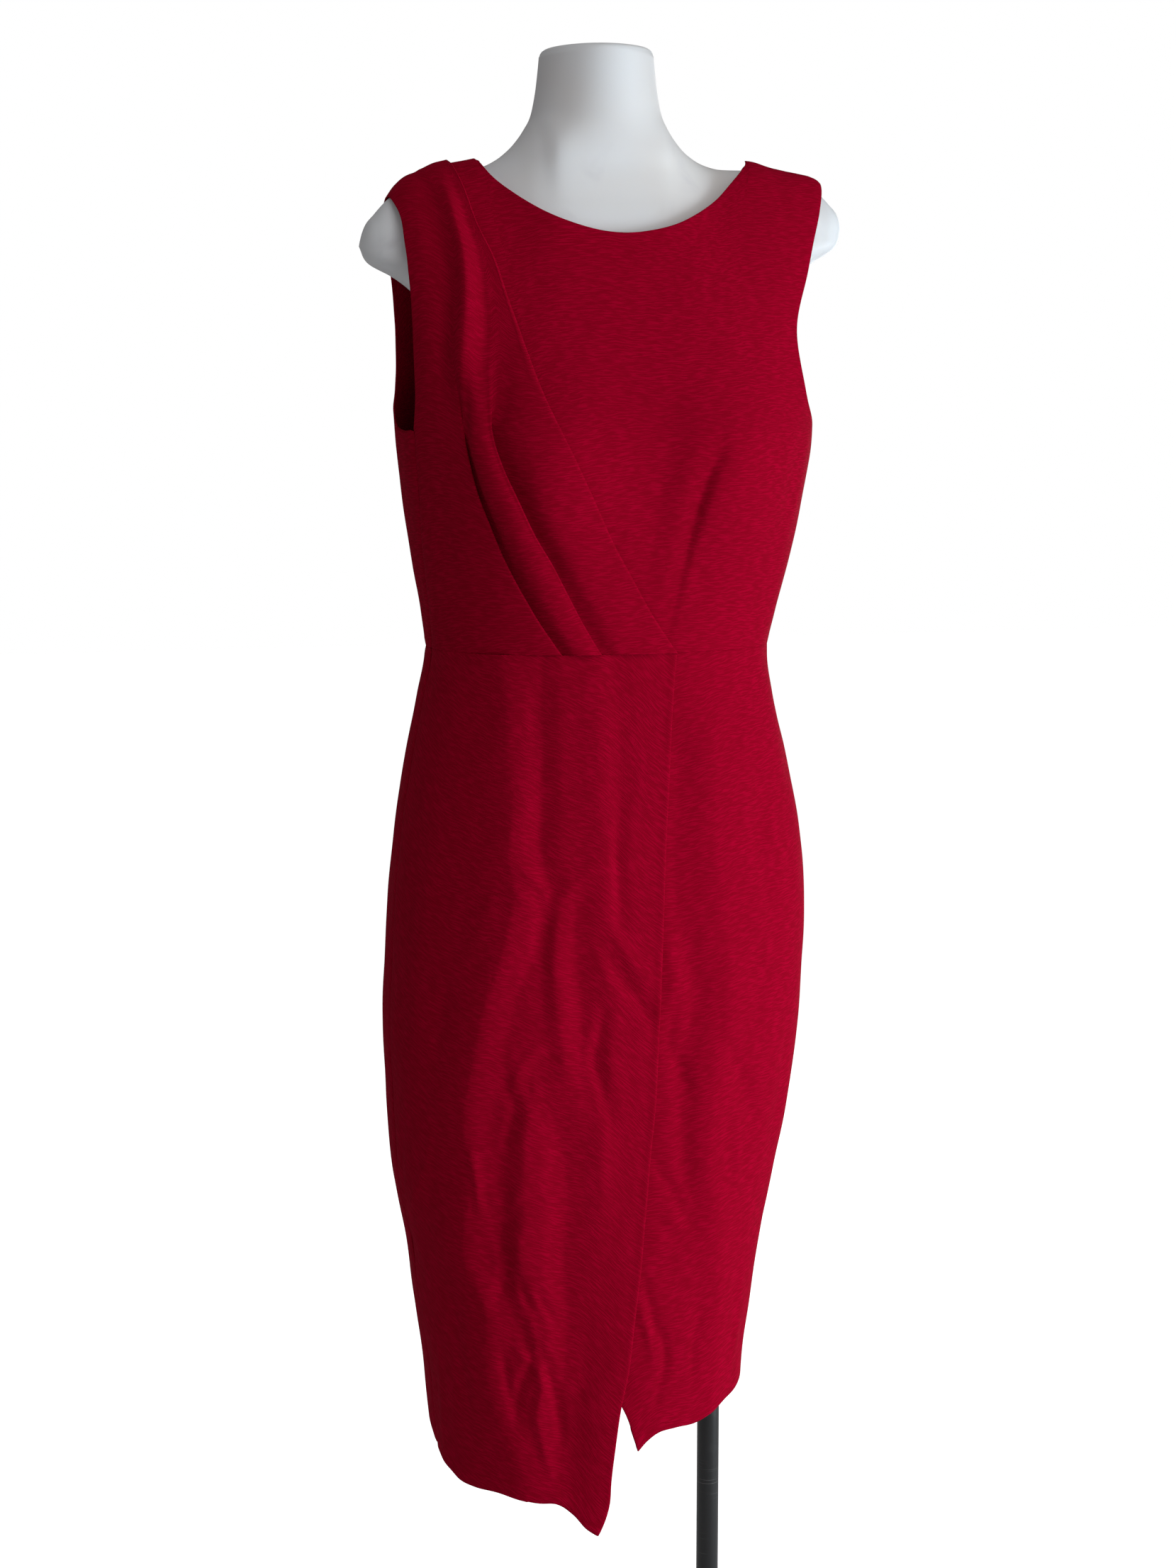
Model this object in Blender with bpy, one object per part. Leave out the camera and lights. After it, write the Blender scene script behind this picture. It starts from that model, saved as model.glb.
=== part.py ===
"""Wrap-front sheath dress, sleeveless, on a limbless dress form with a pole stand.

Metres, +Z up, floor at z = 0, the dress's front towards -Y and x = 0 under the form's neck.
A place on the cloth is (turn, height): turn is degrees round the body from the front centre
(-90 the left side as seen from the front, 90 the right, 180 the back), height is metres above
the floor. Cloth is a wall of one thickness; a panel's lift is how far it stands off the skin
of the body, so a layer that lies on another has the lift of one wall and a small gap.
"""

import math

import bpy
import numpy as np

for old in list(bpy.data.objects):
    bpy.data.objects.remove(old, do_unlink=True)

# ---------------------------------------------------------------- driving dimensions
WALL = 0.0015  # cloth thickness
HALF_SEAM = 0.00024  # each side of a seam stops this far short of it
LAYER = WALL + 0.0008  # lift of a layer that lies on another
SLACK = 0.0010  # how far the lower skirt layer hangs back from the wrap's folds
WAIST = 1.042
UNDERARM = 1.224
DEGREE = 0.0025  # cloth to one degree of turn, near enough to space points by
SEAM_TURN = 0.12  # half a seam's gap as degrees of turn, at the sides
CROWD = 1.4  # how much closer a bodice panel's rows lie at the shoulder

POLE_X = 0.104
POLE_RADIUS = 0.010
BASE_RADIUS = 0.175
BASE_THICK = 0.009
HUB_RADIUS = 0.021
HUB_HEIGHT = 0.034
SOCKET_RADIUS = 0.016
SOCKET_LENGTH = 0.045
FLANGE_RADIUS = 0.036
FLANGE_THICK = 0.004
FORM_BOTTOM = 0.70
NECK_TOP = 1.542
GAP = 0.0003

# Cloth skin: height, half widths to the left and right, depths to the front and back
SKIN_ROWS = np.array([
    (0.240, 0.1515, 0.1190, 0.112, 0.108),
    (0.340, 0.1530, 0.1225, 0.114, 0.112),
    (0.400, 0.1580, 0.1250, 0.116, 0.115),
    (0.455, 0.1652, 0.1320, 0.117, 0.118),
    (0.520, 0.1735, 0.1420, 0.118, 0.121),
    (0.580, 0.1845, 0.1550, 0.120, 0.124),
    (0.640, 0.1887, 0.1675, 0.122, 0.128),
    (0.700, 0.1912, 0.1763, 0.124, 0.131),
    (0.760, 0.1896, 0.1803, 0.125, 0.134),
    (0.830, 0.1852, 0.1818, 0.125, 0.134),
    (0.890, 0.1790, 0.1748, 0.123, 0.129),
    (0.950, 0.1696, 0.1623, 0.119, 0.120),
    (1.000, 0.1590, 0.1508, 0.113, 0.109),
    (1.042, 0.1523, 0.1462, 0.109, 0.100),
    (1.070, 0.1550, 0.1535, 0.110, 0.099),
    (1.110, 0.1620, 0.1645, 0.113, 0.102),
    (1.160, 0.1695, 0.1748, 0.117, 0.108),
    (1.210, 0.1755, 0.1846, 0.117, 0.113),
    (1.260, 0.1790, 0.1876, 0.110, 0.115),
    (1.310, 0.1900, 0.1900, 0.101, 0.114),
    (1.360, 0.2080, 0.2080, 0.088, 0.107),
    (1.390, 0.2160, 0.2160, 0.080, 0.100),
    (1.420, 0.2180, 0.2180, 0.073, 0.090),
    (1.460, 0.2180, 0.2180, 0.066, 0.078),
])
# Top of the shoulder, where front and back meet: x, height. The right one is held higher.
SHOULDER = np.array([
    (-0.220, 1.3600), (-0.195, 1.3980), (-0.186, 1.4110), (-0.180, 1.4195), (-0.174, 1.4275),
    (-0.166, 1.4342), (-0.155, 1.4385), (-0.142, 1.4425), (-0.128, 1.4460), (-0.112, 1.4495),
    (-0.095, 1.4550), (-0.080, 1.4700), (-0.050, 1.5400), (0.000, 1.6000), (0.050, 1.5400),
    (0.080, 1.4700), (0.095, 1.4585), (0.110, 1.4562), (0.125, 1.4555), (0.140, 1.4545),
    (0.152, 1.4512), (0.168, 1.4478), (0.182, 1.4455), (0.193, 1.4435), (0.200, 1.4400),
    (0.206, 1.4330), (0.220, 1.4050),
])
# Form: height, half width, front depth, back depth
FORM_ROWS = np.array([
    (0.700, 0.1600, 0.112, 0.118),
    (0.760, 0.1660, 0.115, 0.122),
    (0.830, 0.1680, 0.116, 0.123),
    (0.890, 0.1630, 0.113, 0.118),
    (0.950, 0.1520, 0.109, 0.110),
    (1.000, 0.1410, 0.103, 0.100),
    (1.042, 0.1365, 0.099, 0.091),
    (1.070, 0.1405, 0.100, 0.090),
    (1.110, 0.1460, 0.104, 0.094),
    (1.160, 0.1510, 0.109, 0.100),
    (1.210, 0.1540, 0.110, 0.106),
    (1.260, 0.1540, 0.104, 0.109),
    (1.310, 0.1555, 0.096, 0.108),
    (1.345, 0.1650, 0.088, 0.103),
    (1.360, 0.1840, 0.081, 0.098),
    (1.372, 0.2050, 0.076, 0.093),
    (1.386, 0.2137, 0.070, 0.087),
    (1.400, 0.2250, 0.066, 0.081),
    (1.420, 0.2400, 0.0585, 0.0725),
    (1.440, 0.2500, 0.0545, 0.0645),
    (1.460, 0.2500, 0.056, 0.061),
    (1.500, 0.2500, 0.0565, 0.058),
    (1.545, 0.2500, 0.056, 0.056),
])
# Form's own outline from the front above the arm caps: distance from the middle, height
FORM_TOP = np.array([
    (0.0000, 1.6900), (0.0100, 1.6885), (0.0200, 1.6780), (0.0300, 1.6500), (0.0400, 1.6000),
    (0.0475, NECK_TOP), (0.0495, 1.523), (0.0520, 1.505), (0.0560, 1.4877), (0.0610, 1.478),
    (0.0690, 1.4668), (0.0820, 1.4551), (0.0995, 1.4465), (0.1220, 1.4432), (0.1400, 1.4415),
    (0.1600, 1.4383), (0.1750, 1.4330), (0.1900, 1.4225), (0.2000, 1.4120), (0.2080, 1.4020),
    (0.2137, 1.3860),
])
# Form's rings: half width and height at the sides, height at the front and back centre
FORM_RINGS = (
    (None, 0.700, 0.700), (None, 0.715, 0.715), (None, 0.745, 0.745), (None, 0.785, 0.785),
    (None, 0.825, 0.825), (None, 0.870, 0.870), (None, 0.915, 0.915), (None, 0.955, 0.955),
    (None, 0.995, 0.995), (None, 1.030, 1.030), (None, 1.060, 1.060), (None, 1.095, 1.095),
    (None, 1.130, 1.130), (None, 1.160, 1.160), (None, 1.190, 1.187), (None, 1.220, 1.213),
    (None, 1.255, 1.240), (None, 1.290, 1.265), (None, 1.320, 1.290), (None, 1.342, 1.312),
    (None, 1.357, 1.330), (None, 1.370, 1.346), (0.2137, 1.386, 1.362), (0.2080, 1.402, 1.376),
    (0.2000, 1.412, 1.387), (0.1900, 1.4225, 1.397), (0.1750, 1.4330, 1.407),
    (0.1600, 1.4383, 1.416), (0.1400, 1.4415, 1.424), (0.1220, 1.4432, 1.431),
    (0.0995, 1.4465, 1.439), (0.0820, 1.4551, 1.450), (0.0690, 1.4668, 1.463),
    (0.0610, 1.478, 1.476), (0.0560, 1.4877, 1.487), (0.0520, 1.505, 1.505),
    (0.0495, 1.523, 1.523), (0.0475, NECK_TOP, NECK_TOP),
)
NECK_DEPTH = 0.054  # half the neck's oval from front to back
NECK_BLEND = (1.450, 1.492)  # heights over which the shoulders turn into that oval
CAPS_ASIDE = 0.008  # how far the arm caps sit to the right of the middle
CAPS_TILT = 0.045  # and rise to the right, for each metre of width
CAPS_SLIM = 0.11  # share by which the caps are thinner from front to back than the chest's oval
CROWN = 1.22  # above this height the depths close in towards the shoulder line
SHOULDER_GUESS = 1.445  # where the search for a shoulder line's height starts
BUST_OUT = 0.088
BUST_HEIGHT = 1.185
BUST_SPREAD = 0.045
BUST_DEPTH = 0.021
BACK_LEAN = 0.012  # how far the shoulders lie behind the waist

# ---------------------------------------------------------------- the skin of the body


def smooth(x, xs, ys):
    """Smooth curve through the points (xs, ys): cubic pieces whose slopes are the points' own."""
    slopes = np.gradient(ys, xs)
    x = np.clip(np.asarray(x, float), xs[0], xs[-1])
    i = np.clip(np.searchsorted(xs, x) - 1, 0, len(xs) - 2)
    step = xs[i + 1] - xs[i]
    t = (x - xs[i]) / step
    return (
        (2 * t**3 - 3 * t**2 + 1) * ys[i] + (t**3 - 2 * t**2 + t) * step * slopes[i]
        + (3 * t**2 - 2 * t**3) * ys[i + 1] + (t**3 - t**2) * step * slopes[i + 1]
    )


def ramp(x, low, high):
    """0 below low, 1 above high, and an S-curve between."""
    t = np.clip((np.asarray(x, float) - low) / (high - low), 0, 1)
    return t * t * (3 - 2 * t)


def lean(z):
    return BACK_LEAN * ramp(z, 1.20, 1.45)


def bust(x, z):
    spread = np.where(z > BUST_HEIGHT, BUST_SPREAD + 0.010, BUST_SPREAD)
    up = np.exp(-0.5 * ((z - BUST_HEIGHT) / spread) ** 2)
    return BUST_DEPTH * up * sum(
        np.exp(-0.5 * ((x - side * BUST_OUT) / BUST_SPREAD) ** 2) for side in (-1, 1)
    )


def squareness(z):
    """Power of the oval section: a little squarer below the hips."""
    return 2.3 + 0.15 * np.clip((1.0 - z) / 0.5, 0, 1)


def skin(turn, height):
    """Points of the body's skin. A height above the shoulder line runs down the other side."""
    angle = np.radians(turn)
    z = np.asarray(height, float)
    left, right, front, back = (smooth(z, SKIN_ROWS[:, 0], SKIN_ROWS[:, i]) for i in (1, 2, 3, 4))
    sine, cosine = np.sin(angle), np.abs(np.cos(angle))
    power = squareness(z)
    oval = (np.abs(sine) ** power + cosine**power) ** (-1 / power)
    x = np.where(sine < 0, left, right) * sine * oval
    top = smooth(x, SHOULDER[:, 0], SHOULDER[:, 1])
    climb = np.maximum((z - CROWN) / (top - CROWN), 0)
    over = climb > 1
    climb = np.where(over, 2 - climb, climb)
    z = np.where(z > CROWN, CROWN + climb * (top - CROWN), z)
    closing = np.sqrt(np.clip(1 - climb**4, 0, 1))
    in_front = (np.cos(angle) > 0) ^ over
    y = np.where(
        in_front, lean(z) - front * cosine * oval * closing - bust(x, z) * cosine,
        lean(z) + back * cosine * oval * closing,
    )
    return np.stack([x, y, z], -1)


def skin_normal(turn, height):
    """Outward unit normals, from small steps round and up the skin."""
    turn_step, height_step = 0.25, 0.0005
    across = skin(turn + turn_step, height) - skin(turn - turn_step, height)
    up = skin(turn, height + height_step) - skin(turn, height - height_step)
    normal = np.cross(across, up)
    return normal / np.linalg.norm(normal, axis=-1, keepdims=True)


def shoulder_height(turn):
    """Height of the shoulder line where a column at this turn meets it, closed in on in steps."""
    height = SHOULDER_GUESS
    for _ in range(12):
        x = skin(turn, height)[..., 0]
        height = float(smooth(x, SHOULDER[:, 0], SHOULDER[:, 1]))
    return height


# ---------------------------------------------------------------- edges and grids of a panel


def edge(points, count):
    """count places evenly along a smooth edge through (turn, height) points."""
    points = np.array(points, float)
    steps = np.hypot(np.diff(points[:, 0]) * DEGREE, np.diff(points[:, 1]))
    at = np.concatenate([[0], np.cumsum(steps)])
    where = np.linspace(0, at[-1], count)
    return np.stack([smooth(where, at, points[:, i]) for i in (0, 1)], -1)


def chain(*pieces):
    """Edges joined end to end, each shared corner once."""
    return np.concatenate([pieces[0], *[piece[1:] for piece in pieces[1:]]])


def level_line(start, end, height, count):
    return np.stack([np.linspace(start, end, count), np.full(count, height)], -1)


STEPS = 161
CLIMB = np.linspace(0, 1, STEPS)
CLIMB = CLIMB * (2 - CLIMB)  # closer together near the top, where the shoulder rounds over


def at_climb(points):
    """An edge read at the STEPS places of CLIMB."""
    fine = edge(points, 400)
    return np.stack([np.interp(CLIMB, np.linspace(0, 1, 400), fine[:, i]) for i in (0, 1)], -1)


def blend_edges(bottom, top, left, right):
    """Places inside four edges: each pair of opposite edges blended, less the corners' blend."""
    u = np.linspace(0, 1, len(bottom))[None, :, None]
    v = CLIMB[:, None, None]
    corners = (
        (1 - u) * (1 - v) * bottom[0] + u * (1 - v) * bottom[-1]
        + (1 - u) * v * top[0] + u * v * top[-1]
    )
    sides = (1 - u) * left[:, None] + u * right[:, None]
    return (1 - v) * bottom[None] + v * top[None] + sides - corners


def even_rows(places, rows, crowd=1.0):
    """Rows read from close-set places so that each column's points are evenly apart on the skin.

    A crowd above 1 draws the rows together towards the top, where the shoulder rounds over.
    """
    points = skin(places[..., 0], places[..., 1])
    steps = np.linalg.norm(np.diff(points, axis=0), axis=-1)
    at = np.concatenate([np.zeros((1, steps.shape[1])), np.cumsum(steps, axis=0)])
    out = np.empty((rows, places.shape[1], places.shape[2]))
    share = 1 - (1 - np.linspace(0, 1, rows)) ** crowd
    for column in range(places.shape[1]):
        where = share * at[-1, column]
        for channel in range(places.shape[2]):
            out[:, column, channel] = np.interp(where, at[:, column], places[:, column, channel])
    return out


def stack(lower, upper):
    """Two grids one above the other, sharing the row where they meet."""
    return np.concatenate([lower, upper[1:]])


# ---------------------------------------------------------------- folds

# panel, height of the ridge (less than 0, a trough), half width, then places along it
FOLDS = (
    ("skirt_front", 0.0040, 0.017, (
        (-41.7, 1.03), (-38.4, 0.967), (-35.6, 0.911), (-34.6, 0.82), (-39.3, 0.763),
        (-43.5, 0.68), (-47.3, 0.589), (-50.0, 0.515), (-45.7, 0.445), (-42.1, 0.373))),
    ("skirt_front", -0.0025, 0.011, (
        (-30.1, 1.02), (-27.4, 0.911), (-23.6, 0.823), (-22.6, 0.775), (-23.4, 0.733))),
    ("skirt_front", 0.0018, 0.012, (
        (-14.2, 1.02), (-13.8, 0.916), (-17.5, 0.855), (-22.2, 0.799), (-21.5, 0.71))),
    ("skirt_front", -0.0030, 0.013, (
        (-16.5, 0.84), (-17.5, 0.763), (-15.7, 0.67), (-16.6, 0.578), (-18.0, 0.516),
        (-19.5, 0.44), (-24.0, 0.35))),
    ("skirt_front", -0.0020, 0.009, (
        (-5.8, 1.02), (-5.8, 0.916), (-8.2, 0.833), (-7.0, 0.775), (0.1, 0.741), (3.8, 0.722))),
    ("skirt_front", 0.0035, 0.015, (
        (24.5, 0.98), (22.8, 0.83), (24.2, 0.692), (24.6, 0.567), (30.0, 0.47), (33.6, 0.39))),
    ("skirt_front", -0.0025, 0.012, (
        (12.5, 0.93), (11.9, 0.818), (10.7, 0.70), (13.2, 0.59), (15.0, 0.50))),
    ("skirt_front", -0.0020, 0.012, ((39.0, 0.95), (36.8, 0.871), (40.0, 0.80))),
    ("skirt_back", -0.0035, 0.020, ((172.0, 0.95), (176.0, 0.80), (181.0, 0.62), (178.0, 0.45))),
    ("skirt_back", 0.0035, 0.018, ((146.0, 0.90), (150.0, 0.76), (148.0, 0.60), (153.0, 0.44))),
    ("skirt_back", 0.0030, 0.020, ((212.0, 0.86), (206.0, 0.70), (209.0, 0.55), (202.0, 0.42))),
    ("skirt_back", -0.0025, 0.016, ((232.0, 0.78), (228.0, 0.64), (231.0, 0.50))),
    ("bodice_back", -0.0025, 0.014, ((150.0, 1.085), (168.0, 1.098), (188.0, 1.094), (206.0, 1.083))),
    ("bodice_back", 0.0020, 0.014, ((156.0, 1.112), (172.0, 1.126), (192.0, 1.121))),
    ("bodice_front", -0.0022, 0.008, (
        (11.5, 1.06), (13.1, 1.097), (14.2, 1.121), (15.5, 1.150), (16.8, 1.180), (21.6, 1.213))),
)


def relief(panel, turn, height):
    """Sum of a panel's folds: a bell across each, that dies away at its two ends."""
    total = np.zeros(np.shape(turn))
    for name, rise, half_width, path in FOLDS:
        if name != panel:
            continue
        path = edge(path, 60)
        across = (turn[..., None] - path[:, 0]) * DEGREE
        up = height[..., None] - path[:, 1]
        distance = np.hypot(across, up)
        nearest = distance.argmin(-1)
        reach = nearest / (len(path) - 1)
        ends = np.sin(np.pi * np.clip(0.08 + 0.84 * reach, 0, 1)) ** 0.6
        away = distance.min(-1) / half_width
        total += rise * ends * np.exp(-(away**2))
    return total


# ---------------------------------------------------------------- meshes and materials


def material(name, colour, roughness, metallic=0.0):
    made = bpy.data.materials.new(name)
    made.use_nodes = True
    shader = made.node_tree.nodes["Principled BSDF"]
    shader.inputs["Base Color"].default_value = (*colour, 1)
    shader.inputs["Roughness"].default_value = roughness
    shader.inputs["Metallic"].default_value = metallic
    return made


def new_object(name, points, faces, look):
    mesh = bpy.data.meshes.new(name)
    mesh.from_pydata([tuple(p) for p in points], [], faces)
    mesh.materials.append(look)
    mesh.shade_smooth()
    mesh.set_sharp_from_angle(angle=math.radians(40))
    made = bpy.data.objects.new(name, mesh)
    bpy.context.scene.collection.objects.link(made)
    return made


def split_cells(number, points):
    """Triangles of a grid's cells, each cut along its shorter diagonal, which keeps to the skin."""
    corners = number[:-1, :-1], number[:-1, 1:], number[1:, 1:], number[1:, :-1]
    a, b, c, d = (corner.ravel() for corner in corners)
    one, other = (np.linalg.norm(points[i] - points[j], axis=-1) for i, j in ((a, c), (b, d)))
    shorter = (one <= other)[:, None]
    first = np.where(shorter, np.stack([a, b, c], -1), np.stack([a, b, d], -1))
    second = np.where(shorter, np.stack([a, c, d], -1), np.stack([b, c, d], -1))
    return np.concatenate([first, second])


def cloth_panel(name, grid, lift, side):
    """Closed wall over a grid of places: the outer face at its lift and the inner one a wall below.

    side is -1 on front panels and 1 on back ones: the way a shoulder edge steps off its seam.
    """
    turn, height = grid[..., 0], grid[..., 1]
    base, normal = skin(turn, height), skin_normal(turn, height)
    tops = np.vectorize(shoulder_height)(turn[-1])
    on_seam = np.abs(height[-1] - tops) < 1e-6
    base[-1, :, 1] += np.where(on_seam, side * HALF_SEAM, 0)
    outer = base + normal * lift[..., None]
    inner = outer - normal * WALL
    rows, columns = turn.shape
    total = rows * columns
    number = np.arange(total).reshape(rows, columns)
    points = np.concatenate([outer.reshape(-1, 3), inner.reshape(-1, 3)])
    cells = split_cells(number, points)
    rim = np.concatenate([number[0, :-1], number[:-1, -1], number[-1, :0:-1], number[:0:-1, 0]])
    after = np.roll(rim, -1)
    band = np.stack([after, rim, rim + total, after + total], -1)
    faces = [*cells.tolist(), *(cells[:, ::-1] + total).tolist(), *band.tolist()]
    return new_object(name, points, faces, CREPE)


def turned(name, profile, centre_x, segments, look):
    """Solid turned about a vertical axis at centre_x from (radius, height) points, bottom to top."""
    angles = np.arange(segments) * 2 * math.pi / segments
    points = [
        (centre_x + radius * math.cos(a), radius * math.sin(a), z)
        for radius, z in profile for a in angles
    ]
    faces = [tuple(range(segments))[::-1]]
    for ring in range(len(profile) - 1):
        for k in range(segments):
            a, b = ring * segments + k, ring * segments + (k + 1) % segments
            faces.append((a, b, b + segments, a + segments))
    faces.append(tuple(range((len(profile) - 1) * segments, len(profile) * segments)))
    return new_object(name, points, faces, look)


CREPE = material("crimson_crepe", (0.33, 0.0, 0.018), 0.78)
FORM_WHITE = material("form_white", (0.80, 0.78, 0.73), 0.28)
POLE_BLACK = material("pole_black", (0.012, 0.012, 0.013), 0.35)

# ---------------------------------------------------------------- edges of the dress

LEFT_SEAM = ((-86.0, WAIST), (-78.5, 1.115), (-74.2, 1.170), (-72.0, UNDERARM))
RIGHT_SEAM = ((85.0, WAIST), (80.0, 1.110), (77.0, 1.170), (76.0, UNDERARM))
LEFT_TIP, RIGHT_TIP = -52.8, 63.5  # ends of the shoulder seams at the armholes
LEFT_NECK, RIGHT_NECK = -28.5, 36.0  # and at the neck
LEFT_ARMHOLE = (
    (-72.0, UNDERARM), (-66.9, 1.2704), (-61.2, 1.3106), (-56.1, 1.3415), (-52.4, 1.376),
    (-51.2, 1.399), (LEFT_TIP, shoulder_height(LEFT_TIP)),
)
RIGHT_ARMHOLE = (
    (76.0, UNDERARM), (66.0, 1.236), (58.5, 1.256), (54.2, 1.285), (52.0, 1.325), (52.4, 1.3588),
    (54.0, 1.388), (58.0, 1.411), (RIGHT_TIP, shoulder_height(RIGHT_TIP)),
)
NECKLINE = (
    (LEFT_NECK, shoulder_height(LEFT_NECK)), (-26.8, 1.4360), (-22.0, 1.4169), (-15.4, 1.4004),
    (-9.5, 1.3918), (-3.5, 1.3868), (1.4, 1.3860), (6.3, 1.3882), (12.3, 1.3939), (17.8, 1.4033),
    (23.8, 1.4169), (28.5, 1.4320), (RIGHT_NECK, shoulder_height(RIGHT_NECK)),
)
WRAP_EDGE = (
    (13.2, WAIST), (5.1, 1.0708), (-1.9, 1.1024), (-8.3, 1.1333), (-14.6, 1.1692),
    (-19.2, 1.1993), (-23.0, 1.2273), (-25.6, 1.2503), (-28.0, 1.2855), (-29.5, 1.3236),
    (-30.2, 1.3652), (-31.8, 1.3889), (-33.5, 1.4227), (-35.0, shoulder_height(-35.0)),
)
# The under bodice goes on beneath the wrap by this much turn at the waist and at the shoulder
TUCK_WAIST, TUCK_SHOULDER = 10.0, 5.0
# First and second pleat, from the waist seam to the shoulder
PLEAT_ONE = (
    (-23.9, WAIST), (-30.5, 1.0701), (-35.3, 1.0959), (-39.7, 1.1225), (-43.5, 1.1512),
    (-46.7, 1.180), (-47.9, 1.208), (-48.0, 1.2417), (-47.3, 1.2704), (-45.6, 1.2984),
    (-43.6, 1.3264), (-42.0, 1.3552), (-41.2, 1.3846), (-42.0, 1.420),
    (-44.5, shoulder_height(-44.5)),
)
PLEAT_TWO = (
    (-11.8, WAIST), (-17.7, 1.070), (-21.7, 1.0931), (-25.7, 1.1168), (-30.7, 1.1426),
    (-34.6, 1.1685), (-37.6, 1.1907), (-40.0, 1.2187), (-40.4, 1.2417), (-39.4, 1.2697),
    (-37.8, 1.2984), (-36.8, 1.330), (-36.3, 1.360), (-36.6, 1.390), (-38.2, 1.420),
    (-39.5, shoulder_height(-39.5)),
)
# Height up the drape (0 waist, 1 shoulder), then millimetres of lift: first pleat's crest and
# foot, second pleat's crest and foot, wrap edge
PLEAT_LIFTS = np.array([
    (0.00, 3.5, 1.0, 5.0, 2.4, 4.2),
    (0.25, 3.4, 0.0, 6.6, 2.6, 4.6),
    (0.50, 5.6, 4.0, 5.4, 2.8, 4.4),
    (0.75, 6.4, 4.8, 3.4, 2.8, 3.8),
    (0.85, 4.6, 3.8, 3.4, 3.0, 3.4),
    (0.93, 3.2, 3.0, 3.0, 2.8, 2.9),
    (1.00, 2.3, 2.4, 2.5, 2.5, 2.5),
])
SKIRT_WRAP_EDGE = (
    (-13.3, 0.2845), (-11.2, 0.298), (-9.9, 0.311), (-9.4, 0.3315), (-8.1, 0.3628),
    (-6.3, 0.398), (-4.1, 0.4267), (-2.1, 0.4719), (-0.2, 0.5172), (1.6, 0.5717), (2.8, 0.619),
    (4.0, 0.6615), (4.4, 0.698), (5.2, 0.785), (6.7, 0.8884), (9.9, 0.9775), (13.2, WAIST),
)
SKIRT_WRAP_HEM = (
    (-86.0, 0.336), (-80.0, 0.3305), (-69.0, 0.3247), (-62.5, 0.3204), (-54.6, 0.3190),
    (-44.5, 0.3190), (-36.5, 0.3147), (-31.2, 0.3125), (-25.8, 0.3120), (-20.7, 0.3025),
    (-16.4, 0.2900), (-13.3, 0.2845),
)
SKIRT_UNDER_EDGE = (
    (0.9, 0.3535), (-0.8, 0.3671), (-3.0, 0.3851), (-5.8, 0.401), (-11.0, 0.427), (-17.5, 0.472),
    (-21.0, 0.54), (-22.0, 0.64), (-22.0, 0.84), (-22.0, WAIST),
)
SKIRT_UNDER_HEM = (
    (0.9, 0.3535), (3.9, 0.3605), (9.4, 0.3685), (16.5, 0.3707), (25.6, 0.3707), (32.2, 0.375),
    (40.0, 0.3815), (52.0, 0.3865), (66.0, 0.3930), (85.0, 0.4000),
)
BACK_HEM = (
    (85.0, 0.400), (110.0, 0.397), (145.0, 0.390), (180.0, 0.385), (215.0, 0.381),
    (240.0, 0.374), (254.0, 0.362), (264.0, 0.348), (274.0, 0.336),
)
BACK_RIGHT_ARMHOLE = (
    (76.0, UNDERARM), (88.0, 1.228), (101.0, 1.239), (112.0, 1.262), (119.5, 1.300),
    (122.5, 1.345), (122.0, 1.390), (180.0 - RIGHT_TIP, shoulder_height(RIGHT_TIP)),
)
BACK_LEFT_ARMHOLE = (
    (288.0, UNDERARM), (272.0, 1.226), (258.0, 1.238), (245.7, 1.262), (236.3, 1.305),
    (230.0, 1.355), (230.3, 1.395), (180.0 - LEFT_TIP, shoulder_height(LEFT_TIP)),
)
BACK_NECKLINE = (
    (180.0 - RIGHT_NECK, shoulder_height(RIGHT_NECK)), (150.0, 1.4330), (158.0, 1.4170),
    (168.0, 1.4075), (178.0, 1.4045), (188.0, 1.4060), (198.0, 1.4145), (204.5, 1.4310),
    (180.0 - LEFT_NECK, shoulder_height(LEFT_NECK)),
)


def shifted(points, turn_by):
    """The same edge moved round by turn_by degrees at the bottom and at the top."""
    low, high = points[0][1], points[-1][1]
    return tuple(
        (turn + turn_by[0] + (turn_by[1] - turn_by[0]) * (z - low) / (high - low), z)
        for turn, z in points
    )


def trimmed(points, turn_by):
    return tuple((turn + turn_by, z) for turn, z in points)


def across(turn_back):
    """A turn on the other side of the shoulder line, as a back panel counts it."""
    return 180.0 - turn_back


def shoulder_run(start, end, count, back=False):
    """Places along the shoulder seam; a back panel counts the same line from behind."""
    turns = np.linspace(start, end, count)
    heights = [shoulder_height(across(t) if back else t) for t in turns]
    return np.stack([turns, heights], -1)


# ---------------------------------------------------------------- bodice


def height_split(points, height):
    """The part of an edge below a height and the part above it, sharing the place between."""
    points = np.array(points)
    turn = smooth(height, points[:, 1], points[:, 0])
    low = [tuple(p) for p in points if p[1] < height - 0.004]
    high = [tuple(p) for p in points if p[1] > height + 0.004]
    return [*low, (float(turn), height)], [(float(turn), height), *high]


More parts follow.
